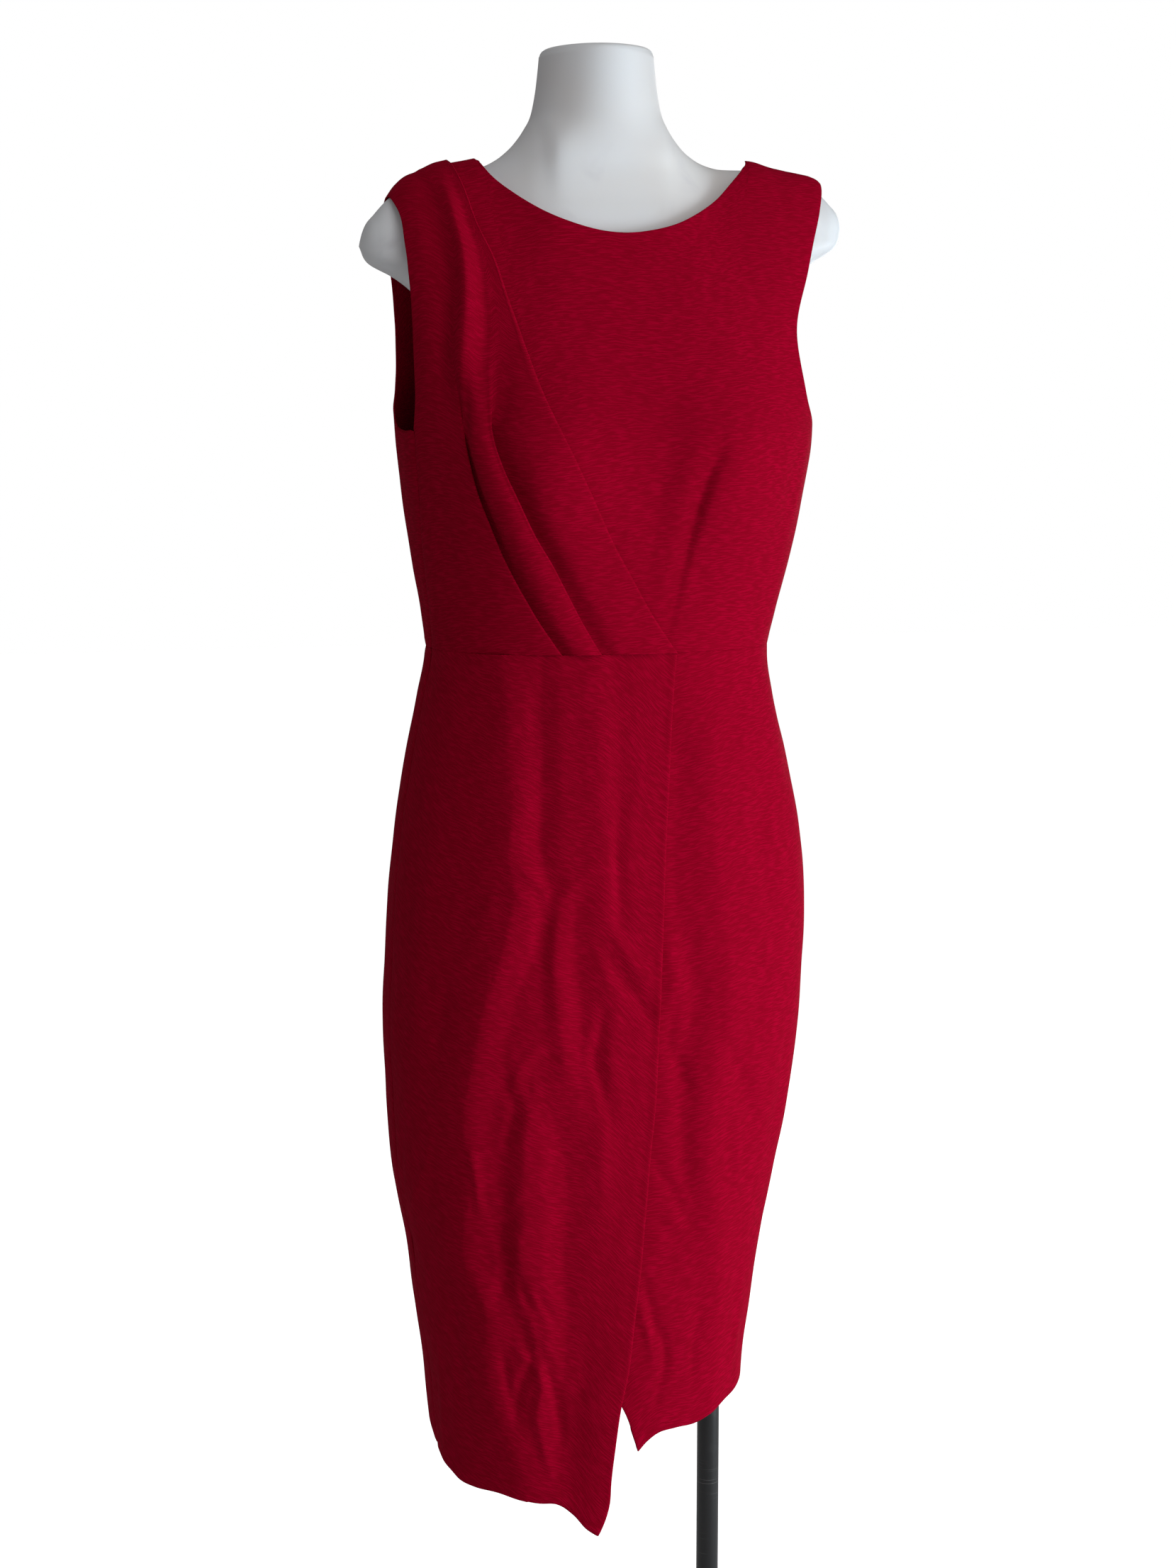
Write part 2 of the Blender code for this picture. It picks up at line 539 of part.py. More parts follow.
def bodice_front_under():
    """Base front: round neck, right strap and side, its left edge hidden beneath the wrap."""
    hidden = shifted(WRAP_EDGE, (-TUCK_WAIST, -TUCK_SHOULDER))
    hidden_top = hidden[-1][0]
    hidden = (*hidden[:-1], (hidden_top, shoulder_height(hidden_top)))
    low_edge, high_edge = height_split(hidden, UNDERARM)
    seam = trimmed(RIGHT_SEAM, -SEAM_TURN)
    shoulder_in, neck, shoulder_out = 3, 13, 6
    columns = shoulder_in + neck + shoulder_out - 2
    top = chain(
        shoulder_run(hidden_top, LEFT_NECK, shoulder_in),
        edge(NECKLINE, neck),
        shoulder_run(RIGHT_NECK, RIGHT_TIP, shoulder_out),
    )
    waist = level_line(low_edge[0][0], seam[0][0], WAIST, columns)
    chest = level_line(low_edge[-1][0], seam[-1][0], UNDERARM, columns)
    armhole = (seam[-1], *RIGHT_ARMHOLE[1:])
    grid = stack(
        even_rows(blend_edges(waist, chest, at_climb(low_edge), at_climb(seam)), 10),
        even_rows(blend_edges(chest, top, at_climb(high_edge), at_climb(armhole)), 13, CROWD),
    )
    grid[0, :, 1] += HALF_SEAM
    lift = relief("bodice_front", grid[..., 0], grid[..., 1])
    return cloth_panel("bodice_front_under", grid, lift, -1)


def rib(points, levels):
    """A pleat line read by height: places at levels from the waist (0) to the shoulder (1)."""
    points = np.array(points)
    heights = WAIST + levels * (points[-1, 1] - WAIST)
    return np.stack([smooth(heights, points[:, 1], points[:, 0]), heights], -1)


def bodice_front_drape():
    """Wrapped left front: two pleats fan from the waist and run out at the shoulder seam."""
    levels = CLIMB
    side, seam = rib(LEFT_ARMHOLE, levels), np.array(LEFT_SEAM)
    on_seam = side[:, 1] < UNDERARM
    side[on_seam, 0] = smooth(side[on_seam, 1], seam[:, 1], seam[:, 0]) + SEAM_TURN
    one, two, end = (rib(points, levels) for points in (PLEAT_ONE, PLEAT_TWO, WRAP_EDGE))
    foot = np.stack([1.2 + 1.0 * levels, np.zeros(STEPS)], -1)
    lifts = [smooth(levels, PLEAT_LIFTS[:, 0], PLEAT_LIFTS[:, i]) / 1000 for i in range(1, 6)]
    strips = (
        (side, one, np.zeros(STEPS), lifts[0], 8, 1.0),
        (one + foot, two, lifts[1], lifts[2], 6, 2.2),
        (two + foot, end, lifts[3], lifts[4], 8, 2.0),
    )
    columns = []
    for start, stop, low, high, count, rush in strips:
        for w in np.linspace(0, 1, count):
            rise = ramp(w, 0, 1) if rush == 1.0 else 1 - (1 - w) ** rush
            turn = (start * (1 - w) + stop * w)[:, 0]
            height = WAIST + levels * (shoulder_height(turn[-1]) - WAIST)
            columns.append(np.column_stack([turn, height, low + (high - low) * rise]))
    places = np.stack(columns, 1)
    split = int(np.searchsorted(levels, (UNDERARM - WAIST) / (side[-1, 1] - WAIST)))
    grid = stack(even_rows(places[: split + 1], 10), even_rows(places[split:], 13, CROWD))
    grid[0, :, 1] += HALF_SEAM
    return cloth_panel("bodice_front_drape", grid[..., :2], grid[..., 2], -1)


def bodice_back():
    """One back piece, with a shallow neckline, from side seam to side seam."""
    right = trimmed(RIGHT_SEAM, SEAM_TURN)
    left = trimmed(LEFT_SEAM, 360 - SEAM_TURN)
    shoulder, neck = 5, 13
    columns = 2 * shoulder + neck - 2
    waist = level_line(right[0][0], left[0][0], WAIST, columns)
    chest = level_line(right[-1][0], left[-1][0], UNDERARM, columns)
    top = chain(
        shoulder_run(across(RIGHT_TIP), across(RIGHT_NECK), shoulder, back=True),
        edge(BACK_NECKLINE, neck),
        shoulder_run(across(LEFT_NECK), across(LEFT_TIP), shoulder, back=True),
    )
    right_hole = (right[-1], *BACK_RIGHT_ARMHOLE[1:])
    left_hole = (left[-1], *BACK_LEFT_ARMHOLE[1:])
    grid = stack(
        even_rows(blend_edges(waist, chest, at_climb(right), at_climb(left)), 8),
        even_rows(blend_edges(chest, top, at_climb(right_hole), at_climb(left_hole)), 13, CROWD),
    )
    grid[0, :, 1] += HALF_SEAM
    lift = relief("bodice_back", grid[..., 0], grid[..., 1])
    return cloth_panel("bodice_back", grid, lift, 1)


# ---------------------------------------------------------------- skirt


def skirt_grid(hem, left, right, columns, rows):
    """Grid of a skirt panel between its hem, its two upright edges and the waist seam."""
    waist = level_line(left[-1][0], right[-1][0], WAIST - HALF_SEAM, columns)
    left, right = at_climb(left), at_climb(right)
    left[-1, 1] = right[-1, 1] = WAIST - HALF_SEAM
    return even_rows(blend_edges(edge(hem, columns), waist, left, right), rows)


def wrap_turn(height):
    """Turn of the wrap's loose edge at a height."""
    wrap_edge = np.array(SKIRT_WRAP_EDGE)
    return smooth(height, wrap_edge[:, 1], wrap_edge[:, 0])


def skirt_front_under():
    """Right front, with its own point at the hem; the left part is hidden beneath the wrap."""
    seam_turn = RIGHT_SEAM[0][0] - SEAM_TURN
    hem = (*SKIRT_UNDER_HEM[:-1], (seam_turn, SKIRT_UNDER_HEM[-1][1]))
    seam = ((seam_turn, hem[-1][1]), (seam_turn, 0.70), (seam_turn, WAIST))
    grid = skirt_grid(hem, SKIRT_UNDER_EDGE, seam, 20, 24)
    lift = relief("skirt_front", grid[..., 0], grid[..., 1])
    lift *= 1 - ramp(grid[..., 0], 55, 80)
    lift -= SLACK * (1 - ramp(grid[..., 0] - wrap_turn(grid[..., 1]), -2, 7))
    return cloth_panel("skirt_front_under", grid, lift, -1)


def skirt_front_wrap():
    """Left front, lapped over the right one, its loose edge and point standing forward below."""
    seam_turn = LEFT_SEAM[0][0] + SEAM_TURN
    hem = ((seam_turn, SKIRT_WRAP_HEM[0][1]), *SKIRT_WRAP_HEM[1:])
    seam = ((seam_turn, hem[0][1]), (seam_turn, 0.70), (seam_turn, WAIST))
    grid = skirt_grid(hem, seam, SKIRT_WRAP_EDGE, 24, 29)
    turn, height = grid[..., 0], grid[..., 1]
    from_edge = wrap_turn(height) - turn
    kick = 0.007 * (1 - ramp(height, 0.40, 0.70)) * (1 - ramp(from_edge, 0, 14))
    away = 1 - ramp(-turn, 60, 84)
    lift = LAYER * ramp(turn, -84, -40) + (relief("skirt_front", turn, height) + kick) * away
    return cloth_panel("skirt_front_wrap", grid, lift, -1)


def skirt_back():
    """One back piece, without a vent, its hem rising a little towards the right."""
    right_turn = RIGHT_SEAM[0][0] + SEAM_TURN
    left_turn = LEFT_SEAM[0][0] + 360 - SEAM_TURN
    hem = ((right_turn, BACK_HEM[0][1]), *BACK_HEM[1:-1], (left_turn, BACK_HEM[-1][1]))
    right = ((right_turn, hem[0][1]), (right_turn, 0.70), (right_turn, WAIST))
    left = ((left_turn, hem[-1][1]), (left_turn, 0.70), (left_turn, WAIST))
    grid = skirt_grid(hem, right, left, 20, 23)
    lift = relief("skirt_back", grid[..., 0], grid[..., 1])
    return cloth_panel("skirt_back", grid, lift, 1)


# ---------------------------------------------------------------- form and stand


def form_depths(x, z):
    """How far the form's front and back stand off its middle plane at (x, z)."""
    half, front, back = (smooth(z, FORM_ROWS[:, 0], FORM_ROWS[:, i]) for i in (1, 2, 3))
    power = squareness(z)
    oval = np.clip(1 - np.abs(x / half) ** power, 0, 1) ** (1 / power)
    top = smooth(np.abs(x), FORM_TOP[:, 0], FORM_TOP[:, 1])
    climb = np.clip((z - CROWN) / (top - CROWN), 0, 1)
    rounding = 4 + 4 * ramp(np.abs(x), 0.185, 0.205)  # fuller at the arm caps
    closing = np.sqrt(np.clip(1 - climb**rounding, 0, 1))
    closing *= 1 - CAPS_SLIM * ramp(np.abs(x), 0.14, 0.18)
    chest = 0.8 * bust(x, z) * oval
    return front * oval * closing + chest, back * oval * closing


def on_stand(points):
    """The form as it sits on its stand: the shoulders aside and tilted, the body below upright."""
    share = ramp(points[..., 2], 1.26, 1.37) * ramp(np.abs(points[..., 0]), 0.06, 0.16)
    moved = points.copy()
    moved[..., 0] += CAPS_ASIDE * share
    moved[..., 2] += CAPS_TILT * points[..., 0] * share
    return moved


def form_torso():
    """Torso with neck and rounded arm caps: closed rings that tilt over the shoulders."""
    quarter = 9
    spread = np.sin(np.linspace(-math.pi / 2, math.pi / 2, 2 * quarter + 1))
    points = []
    for half, side_z, middle_z in FORM_RINGS:
        if half is None:
            half = float(smooth(side_z, FORM_ROWS[:, 0], FORM_ROWS[:, 1]))
        x = half * spread
        z = side_z + (middle_z - side_z) * (1 - spread**2)
        front, back = form_depths(x, z)
        front[[0, -1]] = back[[0, -1]] = 0
        neck = ramp(side_z, *NECK_BLEND)
        front, back = ((1 - neck) * d + neck * NECK_DEPTH * np.sqrt(1 - spread**2) for d in (front, back))
        points += list(zip(x, lean(z) - front, z))
        points += list(zip(x[-2:0:-1], (lean(z) + back)[-2:0:-1], z[-2:0:-1]))
    around = 4 * quarter
    faces = [tuple(range(around))[::-1]]
    for ring in range(len(FORM_RINGS) - 1):
        for k in range(around):
            a, b = ring * around + k, ring * around + (k + 1) % around
            faces.append((a, b, b + around, a + around))
    points = on_stand(np.array(points))
    last = (len(FORM_RINGS) - 1) * around
    faces.append(tuple(range(last, last + around)))
    return new_object("form_torso", points, faces, FORM_WHITE)


def stand():
    """Round base, hub, pole, and the socket with its flange under the form."""
    chamfer = 0.003
    turned("base", (
        (BASE_RADIUS - chamfer, 0.0), (BASE_RADIUS, chamfer), (BASE_RADIUS, BASE_THICK - chamfer),
        (BASE_RADIUS - chamfer, BASE_THICK),
    ), POLE_X, 48, POLE_BLACK)
    hub_bottom = BASE_THICK + GAP
    turned("hub", (
        (HUB_RADIUS, hub_bottom), (HUB_RADIUS, hub_bottom + HUB_HEIGHT * 0.7),
        (POLE_RADIUS + 0.004, hub_bottom + HUB_HEIGHT),
    ), POLE_X, 24, POLE_BLACK)
    flange_bottom = FORM_BOTTOM - GAP - FLANGE_THICK
    socket_bottom = flange_bottom - SOCKET_LENGTH
    turned("socket", (
        (SOCKET_RADIUS, socket_bottom), (SOCKET_RADIUS, flange_bottom),
        (FLANGE_RADIUS, flange_bottom), (FLANGE_RADIUS, FORM_BOTTOM - GAP),
    ), POLE_X, 24, POLE_BLACK)
    turned("pole", (
        (POLE_RADIUS, hub_bottom + HUB_HEIGHT + GAP), (POLE_RADIUS, socket_bottom - GAP),
    ), POLE_X, 24, POLE_BLACK)


bodice_front_under()
bodice_front_drape()
bodice_back()
skirt_front_under()
skirt_front_wrap()
skirt_back()
form_torso()
stand()
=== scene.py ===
"""Looks of a sleeveless wrap-front sheath dress in crimson crepe, on a white torso form and pole.

Metres, +Z up, the dress's front towards -Y. A place on the cloth is (turn, height): turn is
degrees round the body from the front centre (-90 the left side as seen from the front, 90 the
right, 180 the back), height is metres above the floor.
"""

import math

import bpy
import numpy as np
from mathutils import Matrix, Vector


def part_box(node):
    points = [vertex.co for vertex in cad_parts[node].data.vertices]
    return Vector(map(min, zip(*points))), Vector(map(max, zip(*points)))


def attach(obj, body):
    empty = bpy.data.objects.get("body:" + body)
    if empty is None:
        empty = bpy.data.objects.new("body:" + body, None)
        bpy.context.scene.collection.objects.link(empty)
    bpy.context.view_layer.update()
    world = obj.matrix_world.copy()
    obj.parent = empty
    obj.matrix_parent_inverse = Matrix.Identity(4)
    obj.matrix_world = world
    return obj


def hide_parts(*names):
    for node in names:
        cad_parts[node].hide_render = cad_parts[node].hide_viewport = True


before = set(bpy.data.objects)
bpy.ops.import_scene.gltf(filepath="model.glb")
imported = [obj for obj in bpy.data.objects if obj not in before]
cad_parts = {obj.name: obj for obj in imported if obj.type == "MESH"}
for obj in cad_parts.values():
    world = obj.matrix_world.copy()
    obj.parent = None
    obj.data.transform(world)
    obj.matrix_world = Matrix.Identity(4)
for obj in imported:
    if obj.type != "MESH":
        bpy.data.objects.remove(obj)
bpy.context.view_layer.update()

# ---------------------------------------------------------------- base front of the bodice
# The plain front under the wrap: crepe with a round neck finished by a turned edge, one dart
# from the waist up to the bust, and its left edge hidden beneath the drape. Everything that
# shapes a panel of this dress starts here: the body's skin, the panel grid and the cloth.

WAIST, UNDERARM = 1.042, 1.224  # heights
DEGREE = 0.0025  # metres of cloth to one degree of turn, near enough to space points by
FOLD_DEGREE = 1.15 * DEGREE  # the same for the widths of folds
SIDE_DEGREE = 0.0031  # and at the side seams
# Body: height, half widths to the left and right, depths to the front and back
SKIN_ROWS = np.array([
    (0.240, 0.1515, 0.1190, 0.112, 0.108),
    (0.340, 0.1530, 0.1225, 0.114, 0.112),
    (0.400, 0.1580, 0.1250, 0.116, 0.115),
    (0.455, 0.1652, 0.1320, 0.117, 0.118),
    (0.520, 0.1735, 0.1420, 0.118, 0.121),
    (0.580, 0.1845, 0.1550, 0.120, 0.124),
    (0.640, 0.1887, 0.1675, 0.122, 0.128),
    (0.700, 0.1912, 0.1763, 0.124, 0.131),
    (0.760, 0.1896, 0.1803, 0.125, 0.134),
    (0.830, 0.1852, 0.1818, 0.125, 0.134),
    (0.890, 0.1790, 0.1748, 0.123, 0.129),
    (0.950, 0.1696, 0.1623, 0.119, 0.120),
    (1.000, 0.1590, 0.1508, 0.113, 0.109),
    (1.042, 0.1523, 0.1462, 0.109, 0.100),
    (1.070, 0.1550, 0.1535, 0.110, 0.099),
    (1.110, 0.1620, 0.1645, 0.113, 0.102),
    (1.160, 0.1695, 0.1748, 0.117, 0.108),
    (1.210, 0.1755, 0.1846, 0.117, 0.113),
    (1.260, 0.1790, 0.1876, 0.110, 0.115),
    (1.310, 0.1900, 0.1900, 0.101, 0.114),
    (1.360, 0.2080, 0.2080, 0.088, 0.107),
    (1.390, 0.2160, 0.2160, 0.080, 0.100),
    (1.420, 0.2180, 0.2180, 0.073, 0.090),
    (1.460, 0.2180, 0.2180, 0.066, 0.078),
])
# Top of the shoulder, where front and back meet: x, height. The right one is held higher.
SHOULDER = np.array([
    (-0.220, 1.3600), (-0.195, 1.3980), (-0.186, 1.4110), (-0.180, 1.4195), (-0.174, 1.4275),
    (-0.166, 1.4342), (-0.155, 1.4385), (-0.142, 1.4425), (-0.128, 1.4460), (-0.112, 1.4495),
    (-0.095, 1.4550), (-0.080, 1.4700), (-0.050, 1.5400), (0.000, 1.6000), (0.050, 1.5400),
    (0.080, 1.4700), (0.095, 1.4585), (0.110, 1.4562), (0.125, 1.4555), (0.140, 1.4545),
    (0.152, 1.4512), (0.168, 1.4478), (0.182, 1.4455), (0.193, 1.4435), (0.200, 1.4400),
    (0.206, 1.4330), (0.220, 1.4050),
])
CROWN = 1.22  # above this height the depths close in towards the shoulder line
SHOULDER_GUESS = 1.445  # where the search for a shoulder line's height starts
BUST_OUT, BUST_HEIGHT, BUST_DEPTH = 0.088, 1.185, 0.021  # how far aside, how high, how deep
BUST_SPREAD = 0.045  # width of its bells
BUST_EASE = 0.010  # and how much wider they are above its height
BACK_LEAN = 0.012  # how far the shoulders lie behind the waist
LEAN_HEIGHTS = (1.20, 1.45)  # heights over which they come to lie there

CLOTH = 0.0012  # one ply of the crepe
PLY = 0.0010  # the ply turned in behind a hem or a folded edge
HEM_DEPTH = 0.024
SEAM_DIP = 0.0009  # how far a sewn seam sinks
SEAM_REACH = 0.0030  # and how far from the seam the cloth starts to sink
LIGHT_PULL = 0.4  # share of that dip along the right front's waist seam, which lies nearly flat
HALF_SEAM = 0.38 * CLOTH  # a panel stops this far from its seam, so that rounded edges meet
UPPER_ROWS = 78  # rows of points on a bodice panel from the underarm up


def smooth(x, xs, ys):
    """Smooth curve through the points (xs, ys): cubic pieces whose slopes are the points' own."""
    slopes = np.gradient(ys, xs)
    x = np.clip(np.asarray(x, float), xs[0], xs[-1])
    i = np.clip(np.searchsorted(xs, x) - 1, 0, len(xs) - 2)
    step = xs[i + 1] - xs[i]
    t = (x - xs[i]) / step
    return (
        (2 * t**3 - 3 * t**2 + 1) * ys[i] + (t**3 - 2 * t**2 + t) * step * slopes[i]
        + (3 * t**2 - 2 * t**3) * ys[i + 1] + (t**3 - t**2) * step * slopes[i + 1]
    )


def ramp(x, low, high):
    """0 below low, 1 above high, and an S-curve between."""
    t = np.clip((np.asarray(x, float) - low) / (high - low), 0, 1)
    return t * t * (3 - 2 * t)


def lean(z):
    """How far back the body leans at a height."""
    return BACK_LEAN * ramp(z, *LEAN_HEIGHTS)


def bust(x, z):
    """Two bells side by side, taller above their middle than below it."""
    spread = np.where(z > BUST_HEIGHT, BUST_SPREAD + BUST_EASE, BUST_SPREAD)
    up = np.exp(-0.5 * ((z - BUST_HEIGHT) / spread) ** 2)
    return BUST_DEPTH * up * sum(
        np.exp(-0.5 * ((x - side * BUST_OUT) / BUST_SPREAD) ** 2) for side in (-1, 1)
    )


def squareness(z):
    """Power of the oval section: a little squarer below the hips."""
    return 2.3 + 0.15 * np.clip((1.0 - z) / 0.5, 0, 1)


def skin(turn, height):
    """Points of the body: an oval of the height's widths and depths, read at an angle.

    Above the crown the depths close in as the root of one less the climb to the fourth power,
    and a height above the shoulder line runs down the other side.
    """
    angle = np.radians(turn)
    z = np.asarray(height, float)
    left, right, front, back = (smooth(z, SKIN_ROWS[:, 0], SKIN_ROWS[:, i]) for i in (1, 2, 3, 4))
    sine, cosine = np.sin(angle), np.abs(np.cos(angle))
    power = squareness(z)
    oval = (np.abs(sine) ** power + cosine**power) ** (-1 / power)
    x = np.where(sine < 0, left, right) * sine * oval
    top = smooth(x, SHOULDER[:, 0], SHOULDER[:, 1])
    climb = np.maximum((z - CROWN) / (top - CROWN), 0)
    over = climb > 1
    climb = np.where(over, 2 - climb, climb)
    z = np.where(z > CROWN, CROWN + climb * (top - CROWN), z)
    closing = np.sqrt(np.clip(1 - climb**4, 0, 1))
    in_front = (np.cos(angle) > 0) ^ over
    y = np.where(
        in_front, lean(z) - front * cosine * oval * closing - bust(x, z) * cosine,
        lean(z) + back * cosine * oval * closing,
    )
    return np.stack([x, y, z], -1)


def skin_normal(turn, height):
    """Outward unit normals, from small steps round and up the skin."""
    turn_step, height_step = 0.25, 0.0005
    across = skin(turn + turn_step, height) - skin(turn - turn_step, height)
    up = skin(turn, height + height_step) - skin(turn, height - height_step)
    normal = np.cross(across, up)
    return normal / np.linalg.norm(normal, axis=-1, keepdims=True)


def shoulder_height(turn):
    """Height of the shoulder line where a column at this turn meets it, closed in on in steps."""
    height = SHOULDER_GUESS
    for _ in range(12):
        x = skin(turn, height)[..., 0]
        height = smooth(x, SHOULDER[:, 0], SHOULDER[:, 1])
    return height


def on_shoulder(turn, back=False):
    """The place on the shoulder line at this turn; a back panel counts the turn from behind."""
    return 180.0 - turn if back else turn, float(shoulder_height(turn))


def edge(points, count):
    """count places evenly along a smooth edge through (turn, height) points."""
    points = np.array(points, float)
    steps = np.hypot(np.diff(points[:, 0]) * DEGREE, np.diff(points[:, 1]))
    at = np.concatenate([[0], np.cumsum(steps)])
    where = np.linspace(0, at[-1], count)
    return np.stack([smooth(where, at, points[:, i]) for i in (0, 1)], -1)


def chain(*pieces):
    """Edges joined end to end, each shared corner once."""
    return np.concatenate([pieces[0], *[piece[1:] for piece in pieces[1:]]])


def level_line(start, end, height, count):
    """Places at one height."""
    return np.stack([np.linspace(start, end, count), np.full(count, height)], -1)


def shoulder_run(start, end, count, back=False):
    """Places along the shoulder seam; a back panel counts the same line from behind."""
    turns = np.linspace(start, end, count)
    return np.stack([turns, shoulder_height(180 - turns if back else turns)], -1)


def shifted(points, turn_by):
    """The same edge moved round by turn_by degrees at its bottom and at its top."""
    low, high = points[0][1], points[-1][1]
    return tuple(
        (turn + turn_by[0] + (turn_by[1] - turn_by[0]) * (z - low) / (high - low), z)
        for turn, z in points
    )


def height_split(points, height):
    """The part of an edge below a height and the part above it, sharing the place between."""
    points = np.array(points)
    turn = float(smooth(height, points[:, 1], points[:, 0]))
    low = [tuple(p) for p in points if p[1] < height - 0.004]
    high = [tuple(p) for p in points if p[1] > height + 0.004]
    return [*low, (turn, height)], [(turn, height), *high]


CLIMB = np.linspace(0, 1, 241)
CLIMB = CLIMB * (2 - CLIMB)  # closer together near the top, where the shoulder rounds over


def at_climb(points):
    """An edge read at the places of CLIMB."""
    fine = edge(points, 600)
    return np.stack([np.interp(CLIMB, np.linspace(0, 1, 600), fine[:, i]) for i in (0, 1)], -1)


def lengths(points, axis):
    """Distance along a grid of points from its first row (axis 0) or its first column (axis 1)."""
    steps = np.diff(points, axis=axis, prepend=np.take(points, [0], axis=axis))
    return np.cumsum(np.linalg.norm(steps, axis=-1), axis=axis)


def even_rows(places, rows):
    """Rows read from close-set places so that each column's points are evenly apart on the skin."""
    at = lengths(skin(places[..., 0], places[..., 1]), 0)
    columns = [
        [np.interp(np.linspace(0, at[-1, k], rows), at[:, k], places[:, k, c])
         for c in range(places.shape[2])]
        for k in range(places.shape[1])
    ]
    return np.array(columns).transpose(2, 0, 1)


def fill(bottom, top, left, right, rows):
    """Places inside four edges: opposite edges blended both ways, less the corners' blend."""
    left, right = at_climb(left), at_climb(right)
    u = np.linspace(0, 1, len(bottom))[None, :, None]
    v = CLIMB[:, None, None]
    corners = (
        (1 - u) * (1 - v) * bottom[0] + u * (1 - v) * bottom[-1]
        + (1 - u) * v * top[0] + u * v * top[-1]
    )
    sides = (1 - u) * left[:, None] + u * right[:, None]
    return even_rows((1 - v) * bottom[None] + v * top[None] + sides - corners, rows)


RIDGE_ROUND, FOOT_ROUND = 0.014, 0.02  # squares of how far a fold's ridge and foot are rounded


def creases(turn, height, table):
    """Lift of soft folds: across each path a tent with flat flanks, a rounded ridge and foot.

    A row of the table is (rise, left and right half widths, the path's places), and all its
    lengths and heights are in mm. The tent is one less the distance in half widths, over 1.5, and
    no less than nothing; both corners are rounded by a root of squares. A fold dies away at both
    ends.
    """
    total = np.zeros(turn.shape)
    for rise, left, right, path in table:
        path = edge([(at, up / 1000) for at, up in path], 70)
        across = (turn[..., None] - path[:, 0]) * FOLD_DEGREE
        distance = np.hypot(across, height[..., None] - path[:, 1])
        nearest = distance.argmin(-1)
        side = np.take_along_axis(across, nearest[..., None], -1)[..., 0]
        away = distance.min(-1) / np.where(side < 0, left, right) * 1000
        along = nearest / (len(path) - 1)
        ends = np.sin(np.pi * np.clip(0.06 + 0.88 * along, 0, 1)) ** 0.6
        tent = 1 - (np.sqrt(away**2 + RIDGE_ROUND) - math.sqrt(RIDGE_ROUND)) / 1.5
        total += rise / 1000 * ends * (tent + np.sqrt(tent**2 + FOOT_ROUND)) / 2
    return total


def slackness(turn, height):
    """Very shallow unevenness of hanging cloth: a few long waves that cross at odd angles."""
    u, v = turn * DEGREE, height
    waves = (
        (0.00022, 61.0, 17.0, 0.4), (0.00018, -37.0, 49.0, 1.9), (0.00014, 103.0, 71.0, 3.1),
        (0.00010, -149.0, 58.0, 5.0), (0.00008, 190.0, -121.0, 0.9),
    )
    return sum(size * np.sin(a * u + b * v + start) for size, a, b, start in waves)


def seam_distance(grid, *sides):
    """Distance in metres from each place to the nearest of these sides of its panel, by name."""
    points = skin(grid[..., 0], grid[..., 1])
    across, up = lengths(points, 1), lengths(points, 0)
    found = {
        "left": across, "right": across[:, -1:] - across, "bottom": up, "top": up[-1:] - up,
    }
    return np.min([found[side] for side in sides], axis=0)


def sunk(grid, *sides, pulled=1.0):
    """How far the cloth sinks near a panel's sewn sides, where it is pulled in."""
    return -SEAM_DIP * pulled * np.exp(-((seam_distance(grid, *sides) / SEAM_REACH) ** 2))


def side_sunk(grid, *sides):
    """The same along a bodice panel's side seams, which stop at the underarm."""
    return sunk(grid, *sides) * (grid[..., 1] < UNDERARM)


def folded(grid, table, depth=1.0):
    """Lift of a panel's folds, their depths multiplied by depth, and of its slackness."""
    turn, height = grid[..., 0], grid[..., 1]
    return depth * creases(turn, height, table) + slackness(turn, height)


def bodice_grid(low_sides, high_sides, top, low_rows):
    """Places of a bodice panel: from the waist seam to the underarm, and on up to its top edge."""
    waist, arms = (
        level_line(low_sides[0][end][0], low_sides[1][end][0], height, len(top))
        for end, height in ((0, WAIST), (-1, UNDERARM))
    )
    low, high = fill(waist, arms, *low_sides, low_rows), fill(arms, top, *high_sides, UPPER_ROWS)
    low[0, :, 1] += HALF_SEAM
    return np.concatenate([low, high[1:]])


def unit(vectors):
    """Vectors made one long."""
    return vectors / np.maximum(np.linalg.norm(vectors, axis=-1, keepdims=True), 1e-12)


